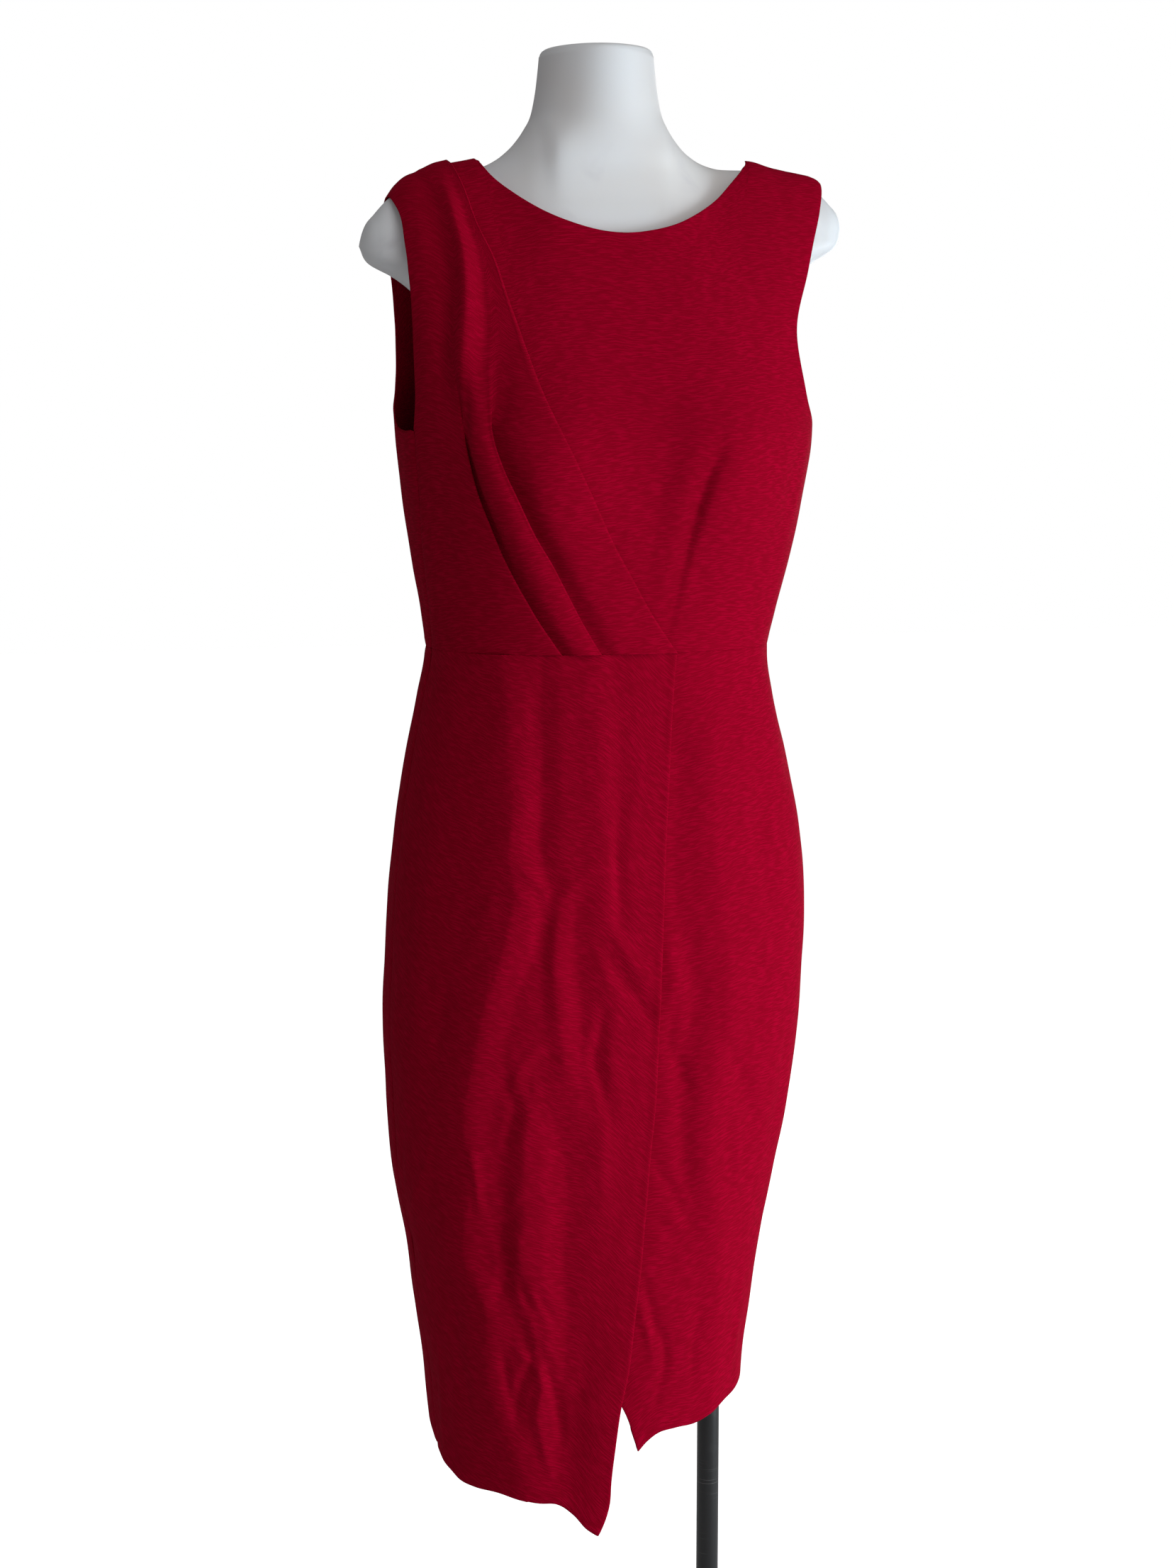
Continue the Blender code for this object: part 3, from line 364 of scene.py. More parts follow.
def cloth(name, outer, thickness, look, slant=0.0):
    """A closed wall: its outer face, the same points moved in by the thickness, a half-round rim.

    The UV map is in metres along and up the cloth, turned a little by slant, for the crepe.
    """
    rows, columns = outer.shape[:2]
    thickness = np.broadcast_to(thickness, (rows, columns))
    normal = unit(np.cross(np.gradient(outer, axis=1), np.gradient(outer, axis=0)))
    inner = outer - normal * thickness[..., None]
    number = np.arange(rows * columns).reshape(rows, columns)
    rim = np.concatenate([number[0, :-1], number[:-1, -1], number[-1, :0:-1], number[:0:-1, 0]])
    away = np.zeros_like(outer)
    away[0] += unit(outer[0] - outer[1])
    away[-1] += unit(outer[-1] - outer[-2])
    away[:, 0] += unit(outer[:, 0] - outer[:, 1])
    away[:, -1] += unit(outer[:, -1] - outer[:, -2])
    flat_outer, flat_normal = outer.reshape(-1, 3)[rim], normal.reshape(-1, 3)[rim]
    flat_away = away.reshape(-1, 3)[rim]
    flat_away = unit(flat_away - (flat_away * flat_normal).sum(-1, keepdims=True) * flat_normal)
    half = thickness.reshape(-1)[rim][:, None] / 2
    rings = [
        flat_outer - flat_normal * half * (1 - math.cos(a)) + flat_away * half * math.sin(a)
        for a in np.radians((36, 72, 108, 144))
    ]
    points = np.concatenate([outer.reshape(-1, 3), inner.reshape(-1, 3), *rings])
    quads = np.stack([number[:-1, :-1], number[:-1, 1:], number[1:, 1:], number[1:, :-1]], -1)
    quads = quads.reshape(-1, 4)
    total = rows * columns
    loops = [rim, *[2 * total + k * len(rim) + np.arange(len(rim)) for k in range(4)], rim + total]
    strips = [
        np.stack([np.roll(a, -1), a, b, np.roll(b, -1)], -1) for a, b in zip(loops, loops[1:])
    ]
    faces = np.concatenate([quads, quads[:, ::-1] + total, *strips])
    along, up = lengths(outer, 1), lengths(outer, 0)
    along -= along[:, columns // 2][:, None]
    flat_map = np.stack([along, up + slant * along], -1).reshape(-1, 2)
    place = np.concatenate([flat_map, flat_map, *[flat_map[rim]] * 4])
    return mesh_object(name, points, faces, look, place)


def mesh_object(name, points, faces, look, place=None):
    """A smooth mesh object from arrays of points, four-sided faces and, on cloth, map places."""
    mesh = bpy.data.meshes.new(name)
    mesh.from_pydata(points.tolist(), [], faces.tolist())
    mesh.materials.append(look)
    mesh.shade_smooth()
    if place is not None:
        corners = np.empty(len(mesh.loops), np.int32)
        mesh.loops.foreach_get("vertex_index", corners)
        layer = mesh.uv_layers.new(name="cloth")
        layer.data.foreach_set("uv", place[corners].ravel())
    made = bpy.data.objects.new(name, mesh)
    bpy.context.scene.collection.objects.link(made)
    return made


class Nodes:
    """Short way to place and link shader nodes in a material or a group."""

    def __init__(self, tree):
        self.tree = tree

    def add(self, kind, settings=None, **inputs):
        """A node of this kind; inputs are numbers, colours or another node's output socket."""
        node = self.tree.nodes.new(kind)
        for key, value in (settings or {}).items():
            setattr(node, key, value)
        for key, value in inputs.items():
            socket = node.inputs[int(key[1:]) if key[0] == "_" else key.replace("_", " ")]
            if isinstance(value, bpy.types.NodeSocket):
                self.link(value, socket)
            else:
                socket.default_value = value
        return node

    def link(self, output, socket):
        """Join a node's output to a socket."""
        self.tree.links.new(output, socket)

    def math(self, operation, a, b=0.0):
        """The result socket of a sum."""
        return self.add("ShaderNodeMath", {"operation": operation}, _0=a, _1=b).outputs[0]

    def spread(self, value, low, high, to_low=0.0, to_high=1.0):
        """Value carried from one range to another, and held at its ends."""
        node = self.add(
            "ShaderNodeMapRange", {"interpolation_type": "SMOOTHSTEP"}, Value=value,
            From_Min=low, From_Max=high, To_Min=to_low, To_Max=to_high,
        )
        return node.outputs["Result"]

    def noise(self, vector, scale, detail=2.0, distortion=0.0):
        """Noise value at a place."""
        node = self.add(
            "ShaderNodeTexNoise", {"noise_dimensions": "3D"}, Vector=vector, Scale=scale,
            Detail=detail, Distortion=distortion,
        )
        return node.outputs["Fac"]

    def mix(self, share, a, b):
        """Colour between a and b."""
        node = self.add("ShaderNodeMix", {"data_type": "RGBA"}, _0=share, _6=a, _7=b)
        return node.outputs[2]

    def stretched(self, vector, scale):
        """A place multiplied by a scale for each axis."""
        node = self.add("ShaderNodeMapping", {"vector_type": "POINT"}, Vector=vector, Scale=scale)
        return node.outputs[0]

    def group(self, tree, **inputs):
        """The outputs of a node group."""
        return self.add("ShaderNodeGroup", {"node_tree": tree}, **inputs).outputs

    def bump(self, height, strength, distance):
        """A surface direction turned by a height."""
        node = self.add("ShaderNodeBump", Height=height, Strength=strength, Distance=distance)
        return node.outputs[0]


def new_group(name, inputs, outputs):
    """An empty shader node group with number inputs and named outputs, and its builder."""
    tree = bpy.data.node_groups.new(name, "ShaderNodeTree")
    for label, kind, value in inputs:
        socket = tree.interface.new_socket(label, in_out="INPUT", socket_type=kind)
        if value is not None:
            socket.default_value = value
    for label, kind in outputs:
        tree.interface.new_socket(label, in_out="OUTPUT", socket_type=kind)
    nodes = Nodes(tree)
    return tree, nodes, nodes.add("NodeGroupInput").outputs, nodes.add("NodeGroupOutput").inputs


def new_material(name, **settings):
    """A material, its node builder and its Principled shader with the given constants."""
    made = bpy.data.materials.new(name)
    made.use_nodes = True
    shader = made.node_tree.nodes["Principled BSDF"]
    for key, value in settings.items():
        shader.inputs[key.replace("_", " ")].default_value = value
    return made, Nodes(made.node_tree), shader


def crepe_group():
    """Crepe: short ripples that lie across the cloth and wander, on a fine twisted yarn."""
    tree, n, given, out = new_group(
        "crepe",
        (("Place", "NodeSocketVector", None), ("Ripples per metre", "NodeSocketFloat", 820.0)),
        [(label, "NodeSocketFloat") for label in ("Height", "Crest", "Tone")],
    )
    place, rate = given["Place"], given["Ripples per metre"]
    wander = n.math("MULTIPLY", n.math("SUBTRACT", n.noise(place, 38.0, 2.0), 0.5), 0.0055)
    apart = n.add("ShaderNodeSeparateXYZ", Vector=place).outputs
    across = n.math("MULTIPLY", apart[0], n.math("MULTIPLY", rate, 0.11))
    up = n.math("MULTIPLY", n.math("ADD", apart[1], wander), rate)
    ripple_place = n.add("ShaderNodeCombineXYZ", X=across, Y=up).outputs[0]
    ripple = n.noise(ripple_place, 1.0, 1.6, 0.35)
    yarn = n.noise(place, 2300.0, 1.0)
    rise = n.math("ADD", n.spread(ripple, 0.34, 0.68), n.math("MULTIPLY", yarn, 0.22))
    n.link(rise, out["Height"])
    # The crests' mask, which the crepe material uses to paint a highlight on the crests.
    n.link(n.spread(ripple, 0.40, 0.66), out["Crest"])
    n.link(n.spread(n.noise(place, 11.0, 3.0), 0.3, 0.7), out["Tone"])
    return tree


CREPE_GROUP = crepe_group()


def crepe_material(name, deep_and_shaded, lit, bump=0.55):
    """Crimson crepe: painted shade in the ripples' valleys and a painted highlight on their crests,
    darker in patches where its tone varies at random, matt, with a faint nap.
    """
    made, n, shader = new_material(
        name, Roughness=0.92, Specular_IOR_Level=0.03, Sheen_Weight=0.06, Sheen_Roughness=0.5,
        Sheen_Tint=(0.60, 0.0, 0.05, 1.0),
    )
    place = n.add("ShaderNodeUVMap", {"uv_map": "cloth"}).outputs[0]
    crepe = n.group(CREPE_GROUP, Place=place)
    # Painted light: the crests take the lighter colour as a painted highlight, and the valleys keep
    # the deep colour as painted shade.
    ripple = n.mix(n.math("MULTIPLY", crepe["Crest"], 0.62), deep_and_shaded, lit)
    colour = n.mix(n.math("MULTIPLY", crepe["Tone"], 0.16), ripple, deep_and_shaded)
    n.link(colour, shader.inputs["Base Color"])
    n.link(n.bump(crepe["Height"], bump, 0.00035), shader.inputs["Normal"])
    return made


# The first colour is both the crepe's dye and the painted shade in the ripples' valleys; the second
# is the painted highlight on their crests.
CREPE = crepe_material("crimson_crepe", (0.285, 0.0, 0.013, 1), (0.48, 0.0, 0.028, 1))

LEFT_SEAM = ((-86.0, WAIST), (-78.5, 1.115), (-74.2, 1.170), (-72.0, UNDERARM))
RIGHT_SEAM = ((85.0, WAIST), (80.0, 1.110), (77.0, 1.170), (76.0, UNDERARM))
LEFT_TIP, RIGHT_TIP = -52.8, 63.5  # ends of the shoulder seams at the armholes
LEFT_NECK, RIGHT_NECK = -28.5, 36.0  # and at the neck
RIGHT_ARMHOLE = (
    (76.0, UNDERARM), (66.0, 1.236), (58.5, 1.256), (54.2, 1.285), (52.0, 1.325), (52.4, 1.3588),
    (54.0, 1.388), (58.0, 1.411), on_shoulder(RIGHT_TIP),
)
NECKLINE = (
    on_shoulder(LEFT_NECK), (-26.8, 1.4360), (-22.0, 1.4169),
    (-15.4, 1.4004), (-9.5, 1.3918), (-3.5, 1.3868), (1.4, 1.3860), (6.3, 1.3882),
    (12.3, 1.3939), (17.8, 1.4033), (23.8, 1.4169), (28.5, 1.4320),
    on_shoulder(RIGHT_NECK),
)
WRAP_EDGE = (
    (13.2, WAIST), (5.1, 1.0708), (-1.9, 1.1024), (-8.3, 1.1333), (-14.6, 1.1692),
    (-19.2, 1.1993), (-23.0, 1.2273), (-25.6, 1.2503), (-28.0, 1.2855), (-29.5, 1.3236),
    (-30.2, 1.3652), (-31.8, 1.3889), (-33.5, 1.4227), on_shoulder(-35.0),
)
TUCK_WAIST, TUCK_SHOULDER = 10.0, 5.0  # how far the base goes on beneath the wrap, in degrees
DART = ((11, 1057), (13.1, 1097), (14.2, 1121), (15.5, 1150), (17.6, 1182), (21.6, 1213))
BASE_FOLDS = (
    (-2, 10, 2.4, DART),
    (-2.8, 12, 5, ((14.8, 1135), (16.6, 1168), (18.6, 1192), (21.8, 1212))),
    (-1.8, 14, 12, ((3, 1110), (4.5, 1150), (6.5, 1190), (9, 1225))),
    (-1.2, 14, 14, ((47, 1110), (50, 1160), (53, 1215))),
    (-1.3, 12, 14, ((38, 1300), (33, 1335), (30, 1370))),
    (1, 12, 12, ((42, 1240), (38, 1290), (36, 1330))),
)


def raised(grid, lift, side):
    """Points of a panel's outer face; a shoulder edge steps off its seam by side's sign."""
    points = skin(grid[..., 0], grid[..., 1])
    on_seam = np.abs(grid[-1, :, 1] - shoulder_height(
        grid[-1, :, 0] if side < 0 else 180 - grid[-1, :, 0])) < 1e-5
    points[-1, :, 1] += np.where(on_seam, side * HALF_SEAM, 0)
    return points + skin_normal(grid[..., 0], grid[..., 1]) * lift[..., None]


hidden_edge = shifted(WRAP_EDGE, (-TUCK_WAIST, -TUCK_SHOULDER))
hidden_top = hidden_edge[-1][0]
hidden_edge = (*hidden_edge[:-1], on_shoulder(hidden_top))
hidden_low, hidden_high = height_split(hidden_edge, UNDERARM)
side_inset = HALF_SEAM / SIDE_DEGREE  # half a side seam, in degrees of turn
right_side = tuple((turn - side_inset, z) for turn, z in RIGHT_SEAM)
neck_columns, strap_columns, tuck_columns = 78, 30, 8
base_top = chain(
    shoulder_run(hidden_top, LEFT_NECK, tuck_columns), edge(NECKLINE, neck_columns),
    shoulder_run(RIGHT_NECK, RIGHT_TIP, strap_columns),
)
base_grid = bodice_grid(
    (hidden_low, right_side), (hidden_high, (right_side[-1], *RIGHT_ARMHOLE[1:])), base_top, 62,
)
base_lift = folded(base_grid, BASE_FOLDS) + sunk(base_grid, "bottom", pulled=LIGHT_PULL)
base_lift += side_sunk(base_grid, "right")
bodice_base = cloth("bodice_base", raised(base_grid, base_lift, -1), CLOTH, CREPE)
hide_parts("bodice_front_under")
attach(bodice_base, "root")

# ---------------------------------------------------------------- draped front of the bodice
# The wrapped half: one piece of crepe laid in two pleats at the waist seam. They fan upwards and
# open into one soft roll below the shoulder. Its free edge is folded under and crosses to the
# right waist.

LEFT_ARMHOLE = (
    (-72.0, UNDERARM), (-66.9, 1.2704), (-61.2, 1.3106), (-56.1, 1.3415), (-52.4, 1.376),
    (-51.2, 1.399), on_shoulder(LEFT_TIP),
)
PLEAT_ONE = (
    (-23.9, WAIST), (-30.5, 1.0701), (-35.3, 1.0959), (-39.7, 1.1225), (-43.5, 1.1512),
    (-46.7, 1.180), (-47.9, 1.208), (-48.0, 1.2417), (-47.3, 1.2704), (-45.6, 1.2984),
    (-43.6, 1.3264), (-42.0, 1.3552), (-41.2, 1.3846), (-42.0, 1.420),
    on_shoulder(-44.5),
)
PLEAT_TWO = (
    (-11.8, WAIST), (-17.7, 1.070), (-21.7, 1.0931), (-25.7, 1.1168), (-30.7, 1.1426),
    (-34.6, 1.1685), (-37.6, 1.1907), (-40.0, 1.2187), (-40.4, 1.2417), (-39.4, 1.2697),
    (-37.8, 1.2984), (-36.8, 1.330), (-36.3, 1.360), (-36.6, 1.390), (-38.2, 1.420),
    on_shoulder(-39.5),
)
# Height up the drape (0 waist, 1 shoulder), then in millimetres, for each pleat: lift of its
# crest and of its valley, how far the cloth goes back under the crest; then the wrap's lift, and
# how far the roll between the pleats swells above its right edge
DRAPE_LEVELS = np.array([
    (0.00, 3.6, 0.4, 7.0, 4.8, 1.4, 6.0, 4.4, 2.6),
    (0.15, 4.6, -0.2, 7.0, 6.4, 0.6, 6.0, 5.0, 2.8),
    (0.30, 5.0, -0.8, 5.5, 7.6, 0.4, 5.5, 5.2, 3.2),
    (0.40, 3.4, -0.8, 2.8, 7.2, 0.8, 3.6, 5.0, 4.2),
    (0.50, 2.6, 0.8, 0.8, 5.2, 1.6, 1.0, 4.6, 6.4),
    (0.62, 6.2, 6.2, 0.0, 3.9, 3.3, 0.0, 4.1, 9.4),
    (0.75, 6.4, 6.4, 0.0, 3.6, 3.5, 0.0, 3.7, 9.6),
    (0.86, 5.0, 5.0, 0.0, 3.3, 3.3, 0.0, 3.4, 7.0),
    (1.00, 1.2, 1.2, 0.0, 3.0, 3.0, 0.0, 3.0, 0.0),
])
DRAPE_TOP = 1.430  # height that stands for the shoulder seam where levels are turned to metres
DRAPE_PLY = 0.0011  # one ply of the drape, a little thinner than the rest where it is stretched
SHARP_UNDER = 0.002  # a pleat with this much cloth under its crest is a sharp fold
PLEAT_SWELL = 0.0016  # how far the cloth between the second pleat and the wrap's edge swells


def rib(points):
    """A pleat line read at the places of CLIMB: its turn at each height up the drape."""
    points = np.array(points)
    heights = WAIST + CLIMB * (points[-1, 1] - WAIST)
    return smooth(heights, points[:, 1], points[:, 0])


def knotted(values, samples):
    """A cubic B-spline across rows of stations: each point is a blend of four stations.

    values is (stations, levels), and samples says how many points lie in each span.
    """
    first, last = 2 * values[:1] - values[1:2], 2 * values[-1:] - values[-2:-1]
    values = np.concatenate([first, values, last])
    span = np.repeat(np.arange(len(samples)), samples)
    t = np.concatenate([np.arange(k) / k for k in samples])
    span, t = np.append(span, len(samples) - 1), np.append(t, 1.0)[:, None]
    return (
        (1 - t) ** 3 * values[span] + (3 * t**3 - 6 * t**2 + 4) * values[span + 1]
        + (-3 * t**3 + 3 * t**2 + 3 * t + 1) * values[span + 2] + t**3 * values[span + 3]
    ) / 6


def drape_column(number):
    """One of the drape's columns read at the places of CLIMB, in metres."""
    return smooth(CLIMB, DRAPE_LEVELS[:, 0], DRAPE_LEVELS[:, number]) / 1000


def metre_turn(turn):
    """Degrees of turn to a metre of cloth, at each level of the drape."""
    heights = WAIST + CLIMB * (DRAPE_TOP - WAIST)
    step = skin(turn + 0.5, heights) - skin(turn - 0.5, heights)
    return 1 / np.linalg.norm(step, axis=-1)


crest_one, valley_one, under_one, crest_two, valley_two, under_two, wrap_lift, roll = (
    drape_column(i) for i in range(1, 9)
)
drape_side = rib(LEFT_ARMHOLE)
drape_heights = WAIST + CLIMB * (LEFT_ARMHOLE[-1][1] - WAIST)
below_arm = drape_heights < UNDERARM
left_seam = np.array(LEFT_SEAM)
drape_side[below_arm] = smooth(drape_heights[below_arm], left_seam[:, 1], left_seam[:, 0])
drape_side[below_arm] += side_inset
line_one, line_two, line_wrap = rib(PLEAT_ONE), rib(PLEAT_TWO), rib(WRAP_EDGE)
opening = ramp(CLIMB, 0.34, 0.62)  # 0 where the first pleat is a sharp fold, 1 where it is a roll
closing_up = ramp(CLIMB, 0.55, 0.90)  # 0 on the chest, 1 where the roll nears the shoulder
ROLL_WIDER, ROLL_IN, EDGE_IN = 0.30, 0.75, 0.70  # shares of a pleat's width that its lines move by
aside = ROLL_WIDER * opening - ROLL_IN * closing_up
line_one = line_one - aside * (line_two - line_one)
line_two = line_two + EDGE_IN * closing_up * (line_wrap - line_two)


def pleat_stations(line, width, crest, under, valley, flank, open_lift):
    """Stations from a pleat's crest, round and back beneath it, and up the next flank.

    Each is (turn, lift) at every level. flank lists (share of the width, lift) up the next
    flank. Where under is nothing the pleat opens, and open_lift gives the lift at each share.
    """
    crisp = np.clip(under / SHARP_UNDER, 0, 1)
    per_metre = metre_turn(line)
    closed = [(line + along * per_metre, lift) for along, lift in (
        (-0.0014, crest), (-0.0003, crest), (0.0010, crest - 0.0004), (0.0011, crest - 0.0018),
        (-0.0004, crest - 0.0026), (-under, crest - 0.0027), (-under - 0.0010, crest - 0.0030),
        (-under - 0.0008, valley), (-under + 0.0012, valley), (0.0002, valley),
    )] + [(line + share * width, lift) for share, lift in flank]
    shares = (
        0.00, 0.03, 0.06, 0.10, 0.14, 0.18, 0.23, 0.28, 0.34, 0.40, 0.47, 0.55, 0.64, 0.76, 0.88,
    )
    opened = [(line + share * width, open_lift(share)) for share in shares]
    return [
        tuple(crisp * a + (1 - crisp) * b for a, b in zip(sharp, soft))
        for sharp, soft in zip(closed, opened)
    ]


# Share of the way from the side to the first pleat, and the share of its rise reached there,
# where the pleat is a sharp fold and where it is a roll
SIDE_FLANK = (
    (0.0, 0.0, 0.0), (0.25, 0.10, 0.30), (0.46, 0.32, 0.50), (0.62, 0.56, 0.40),
    (0.76, 0.76, 0.08), (0.88, 0.90, 0.28), (0.96, 0.98, 0.74),
)


def flank(valley, rise, swell, table):
    """A pleat's next flank, from rows of (share of the width, share of the rise, of the swell)."""
    return [(share, valley + rise * up + swell * out) for share, up, out in table]


rise_one, rise_two = crest_two - valley_one, wrap_lift - valley_two
roll_flank = flank(valley_one, rise_one, roll, (
    (0.10, 0.10, 0.0), (0.20, 0.48, 0.2), (0.34, 0.88, 0.8), (0.58, 1.0, 1.0), (0.86, 1.0, 0.6),
))
wrap_flank = flank(valley_two, rise_two, PLEAT_SWELL, (
    (0.06, 0.10, 0.0), (0.14, 0.50, 0.2), (0.25, 0.90, 0.9), (0.45, 1.0, 1.0), (0.78, 1.0, 0.5),
))


def open_roll(share):
    """Lift across the open roll: up from the valley to its crest, and down to its right edge."""
    settled = crest_one + (valley_one - crest_one) * ramp(share, 0.0, 0.08)
    swell = ramp(share, -0.10, 0.40) * (1 - ramp(share, 0.40, 1.0)) - ramp(0, -0.10, 0.40)
    return settled + rise_one * ramp(share, 0.0, 0.80) + roll * swell


def open_edge(share):
    """Lift from the second pleat, where it lies open, across to the wrap's edge."""
    settled = crest_two + (valley_two - crest_two) * ramp(share, 0, 0.3)
    return settled + rise_two * ramp(share, 0.4, 1)


stations = [
    (drape_side + (line_one - drape_side) * share, crest_one * (sharp + (soft - sharp) * opening))
    for share, sharp, soft in SIDE_FLANK
]
stations += pleat_stations(
    line_one, line_two - line_one, crest_one, under_one, valley_one, roll_flank, open_roll
)
stations += pleat_stations(
    line_two, line_wrap - line_two, crest_two, under_two, valley_two, wrap_flank, open_edge
)
FOLD_BACK = 0.018  # the ply turned under at the wrap's free edge
wrap_metre = metre_turn(line_wrap)
wrap_width = (line_wrap - line_two) / wrap_metre
# Up to the wrap's edge, round it, and back under it: how far along the cloth, and how far down
stations += [
    (line_wrap - np.minimum(inward, share * wrap_width) * wrap_metre, wrap_lift + rise)
    for inward, share, rise in ((0.0060, 0.12, 0.0001), (0.0022, 0.05, 0.0002))
]
stations += [
    (line_wrap + along * wrap_metre, wrap_lift - down) for along, down in (
        (-0.0004, 0.0001), (0.0009, 0.0008), (0.0009, 0.0019), (-0.0004, 0.0025),
        (-0.0030, 0.0026), (-0.5 * FOLD_BACK, 0.0026), (-FOLD_BACK, 0.0026),
    )
]
pleat_samples = [2, 2, 2, 2, 3, 2, 2, 2, 3, 4, 4, 4, 4, 4]
samples = [8, 7, 7, 7, 6, 5, 5, *pleat_samples, 3, *pleat_samples, 3, 2, 2, 2, 2, 2, 2, 4, 4]
drape_turn = knotted(np.array([s[0] for s in stations]), samples).T
drape_lift = knotted(np.array([s[1] for s in stations]), samples).T
drape_tops = shoulder_height(drape_turn[-1])
drape_height = WAIST + CLIMB[:, None] * (drape_tops - WAIST)
drape_grid = even_rows(np.stack([drape_turn, drape_height, drape_lift], -1), 150)
drape_grid[0, :, 1] += HALF_SEAM
DRAPE_FOLDS = (
    (-0.8, 16, 10, ((-58, 1075), (-60, 1130), (-60, 1190))),
    (0.9, 12, 9, ((-46.5, 1405), (-47.5, 1370), (-49.5, 1330))),
    (-0.7, 8, 8, ((-31, 1150), (-35.5, 1185), (-37, 1215))),
)
drape_relief = drape_grid[..., 2] + folded(drape_grid, DRAPE_FOLDS) + side_sunk(drape_grid, "left")
bodice_drape = cloth(
    "bodice_drape", raised(drape_grid, drape_relief, -1), DRAPE_PLY, CREPE, slant=-0.12
)
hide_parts("bodice_front_drape")
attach(bodice_drape, "root")

# ---------------------------------------------------------------- back of the bodice
# One plain piece of the same crepe from side seam to side seam, with a shallow round neck. It
# hangs a little loose above the waist and settles there in two soft folds, with fainter ones by
# them and between the shoulders.

BACK_RIGHT_ARMHOLE = (
    (76.0, UNDERARM), (88.0, 1.228), (101.0, 1.239), (112.0, 1.262), (119.5, 1.300),
    (122.5, 1.345), (122.0, 1.390), on_shoulder(RIGHT_TIP, back=True),
)
BACK_LEFT_ARMHOLE = (
    (288.0, UNDERARM), (272.0, 1.226), (258.0, 1.238), (245.7, 1.262), (236.3, 1.305),
    (230.0, 1.355), (230.3, 1.395), on_shoulder(LEFT_TIP, back=True),
)
BACK_RIGHT_NECK = RIGHT_NECK + 1.8  # a little further out, so that the front's edge covers it
BACK_NECKLINE = (
    on_shoulder(BACK_RIGHT_NECK, back=True), (145.2, 1.4350), (149.5, 1.4250), (157.0, 1.4150),
    (168.0, 1.4075), (178.0, 1.4045), (188.0, 1.4060), (198.0, 1.4145), (204.5, 1.4310),
    on_shoulder(LEFT_NECK, back=True),
)
BACK_FOLDS = (
    (-2.5, 14, 14, ((150, 1085), (168, 1098), (188, 1094), (206, 1083))),
    (2, 14, 14, ((156, 1112), (172, 1126), (192, 1121))),
    (-1.2, 9, 12, ((204, 1105), (214, 1120), (226, 1128))),
    (-1.1, 10, 10, ((132, 1100), (142, 1112), (150, 1130))),
    (1.3, 16, 12, ((150, 1210), (146, 1260), (141, 1310))),
    (-1.2, 14, 14, ((160, 1200), (158, 1260), (156, 1330))),
    (1.2, 14, 16, ((212, 1200), (216, 1260), (222, 1320))),
    (-0.9, 12, 16, ((196, 1180), (200, 1240), (207, 1300))),
)


def settled_rows(grid, first):
    """Rows from the first one up, spaced evenly in height but at the sides as the armholes are."""
    low, high = grid[first, :, 1], grid[-1, :, 1]
    across = np.linspace(-1, 1, grid.shape[1])
    beside = np.abs(across) ** 3
    armholes = (grid[first:, [0, -1], 1] - low[[0, -1]]) / (high - low)[[0, -1]]
    nearer = np.where(across < 0, armholes[:, :1], armholes[:, 1:])
    share = (1 - beside) * np.linspace(0, 1, len(grid) - first)[:, None] + beside * nearer
    settled = grid.copy()
    settled[first:, :, 1] = low + (high - low) * share
    return settled


back_right = tuple((turn + side_inset, z) for turn, z in RIGHT_SEAM)
back_left = tuple((turn + 360 - side_inset, z) for turn, z in LEFT_SEAM)
back_strap, back_neck = 30, 76
back_top = chain(
    shoulder_run(180 - RIGHT_TIP, 180 - BACK_RIGHT_NECK, back_strap, back=True),
    edge(BACK_NECKLINE, back_neck),
    shoulder_run(180 - LEFT_NECK, 180 - LEFT_TIP, back_strap, back=True),
)
back_armholes = (
    (back_right[-1], *BACK_RIGHT_ARMHOLE[1:]), (back_left[-1], *BACK_LEFT_ARMHOLE[1:]),
)
back_grid = bodice_grid((back_right, back_left), back_armholes, back_top, 58)
back_grid = settled_rows(back_grid, len(back_grid) - UPPER_ROWS)
back_lift = folded(back_grid, BACK_FOLDS) + sunk(back_grid, "bottom")
back_lift += side_sunk(back_grid, "left", "right")
bodice_rear = cloth("bodice_rear", raised(back_grid, back_lift, 1), CLOTH, CREPE)
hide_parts("bodice_back")
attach(bodice_rear, "root")

# ---------------------------------------------------------------- lower layer of the skirt
# The right front of the skirt, which the wrap laps over: its left edge is cut away in a curve
# beneath the wrap and meets the hem in a small point of its own. The hem is turned up inside.

SKIRT_WRAP_EDGE = (
    (-13.3, 0.2845), (-11.2, 0.298), (-9.9, 0.311), (-9.4, 0.3315), (-8.1, 0.3628),
    (-6.3, 0.398), (-4.1, 0.4267), (-2.1, 0.4719), (-0.2, 0.5172), (1.6, 0.5717), (2.8, 0.619),
    (4.0, 0.6615), (4.4, 0.698), (5.2, 0.785), (6.7, 0.8884), (9.9, 0.9775), (13.2, WAIST),
)
SKIRT_UNDER_EDGE = (
    (0.9, 0.3535), (-0.8, 0.3671), (-3.0, 0.3851), (-5.8, 0.401), (-11.0, 0.427), (-17.5, 0.472),
    (-21.0, 0.54), (-22.0, 0.64), (-22.0, 0.84), (-22.0, WAIST),
)
SKIRT_UNDER_HEM = (
    (0.9, 0.3535), (3.9, 0.3605), (9.4, 0.3685), (16.5, 0.3707), (25.6, 0.3707), (32.2, 0.375),
    (40.0, 0.3815), (52.0, 0.3865), (66.0, 0.3930), (85.0, 0.4000),
)
SLACK = 0.0010  # how far the lower layer hangs back from the wrap's folds
HIDDEN_DIP = 0.0032  # and how much further where the wrap's own troughs lie over it
SLACK_EASE, DIP_EASE = (-2, 7), (-8, -1)  # degrees past the wrap's edge where each runs out
UNDER_CALM = (55, 80)  # turns over which the lower layer's folds die away to the side
SIDE_MIDDLE = 0.70  # height of the middle place of a side seam
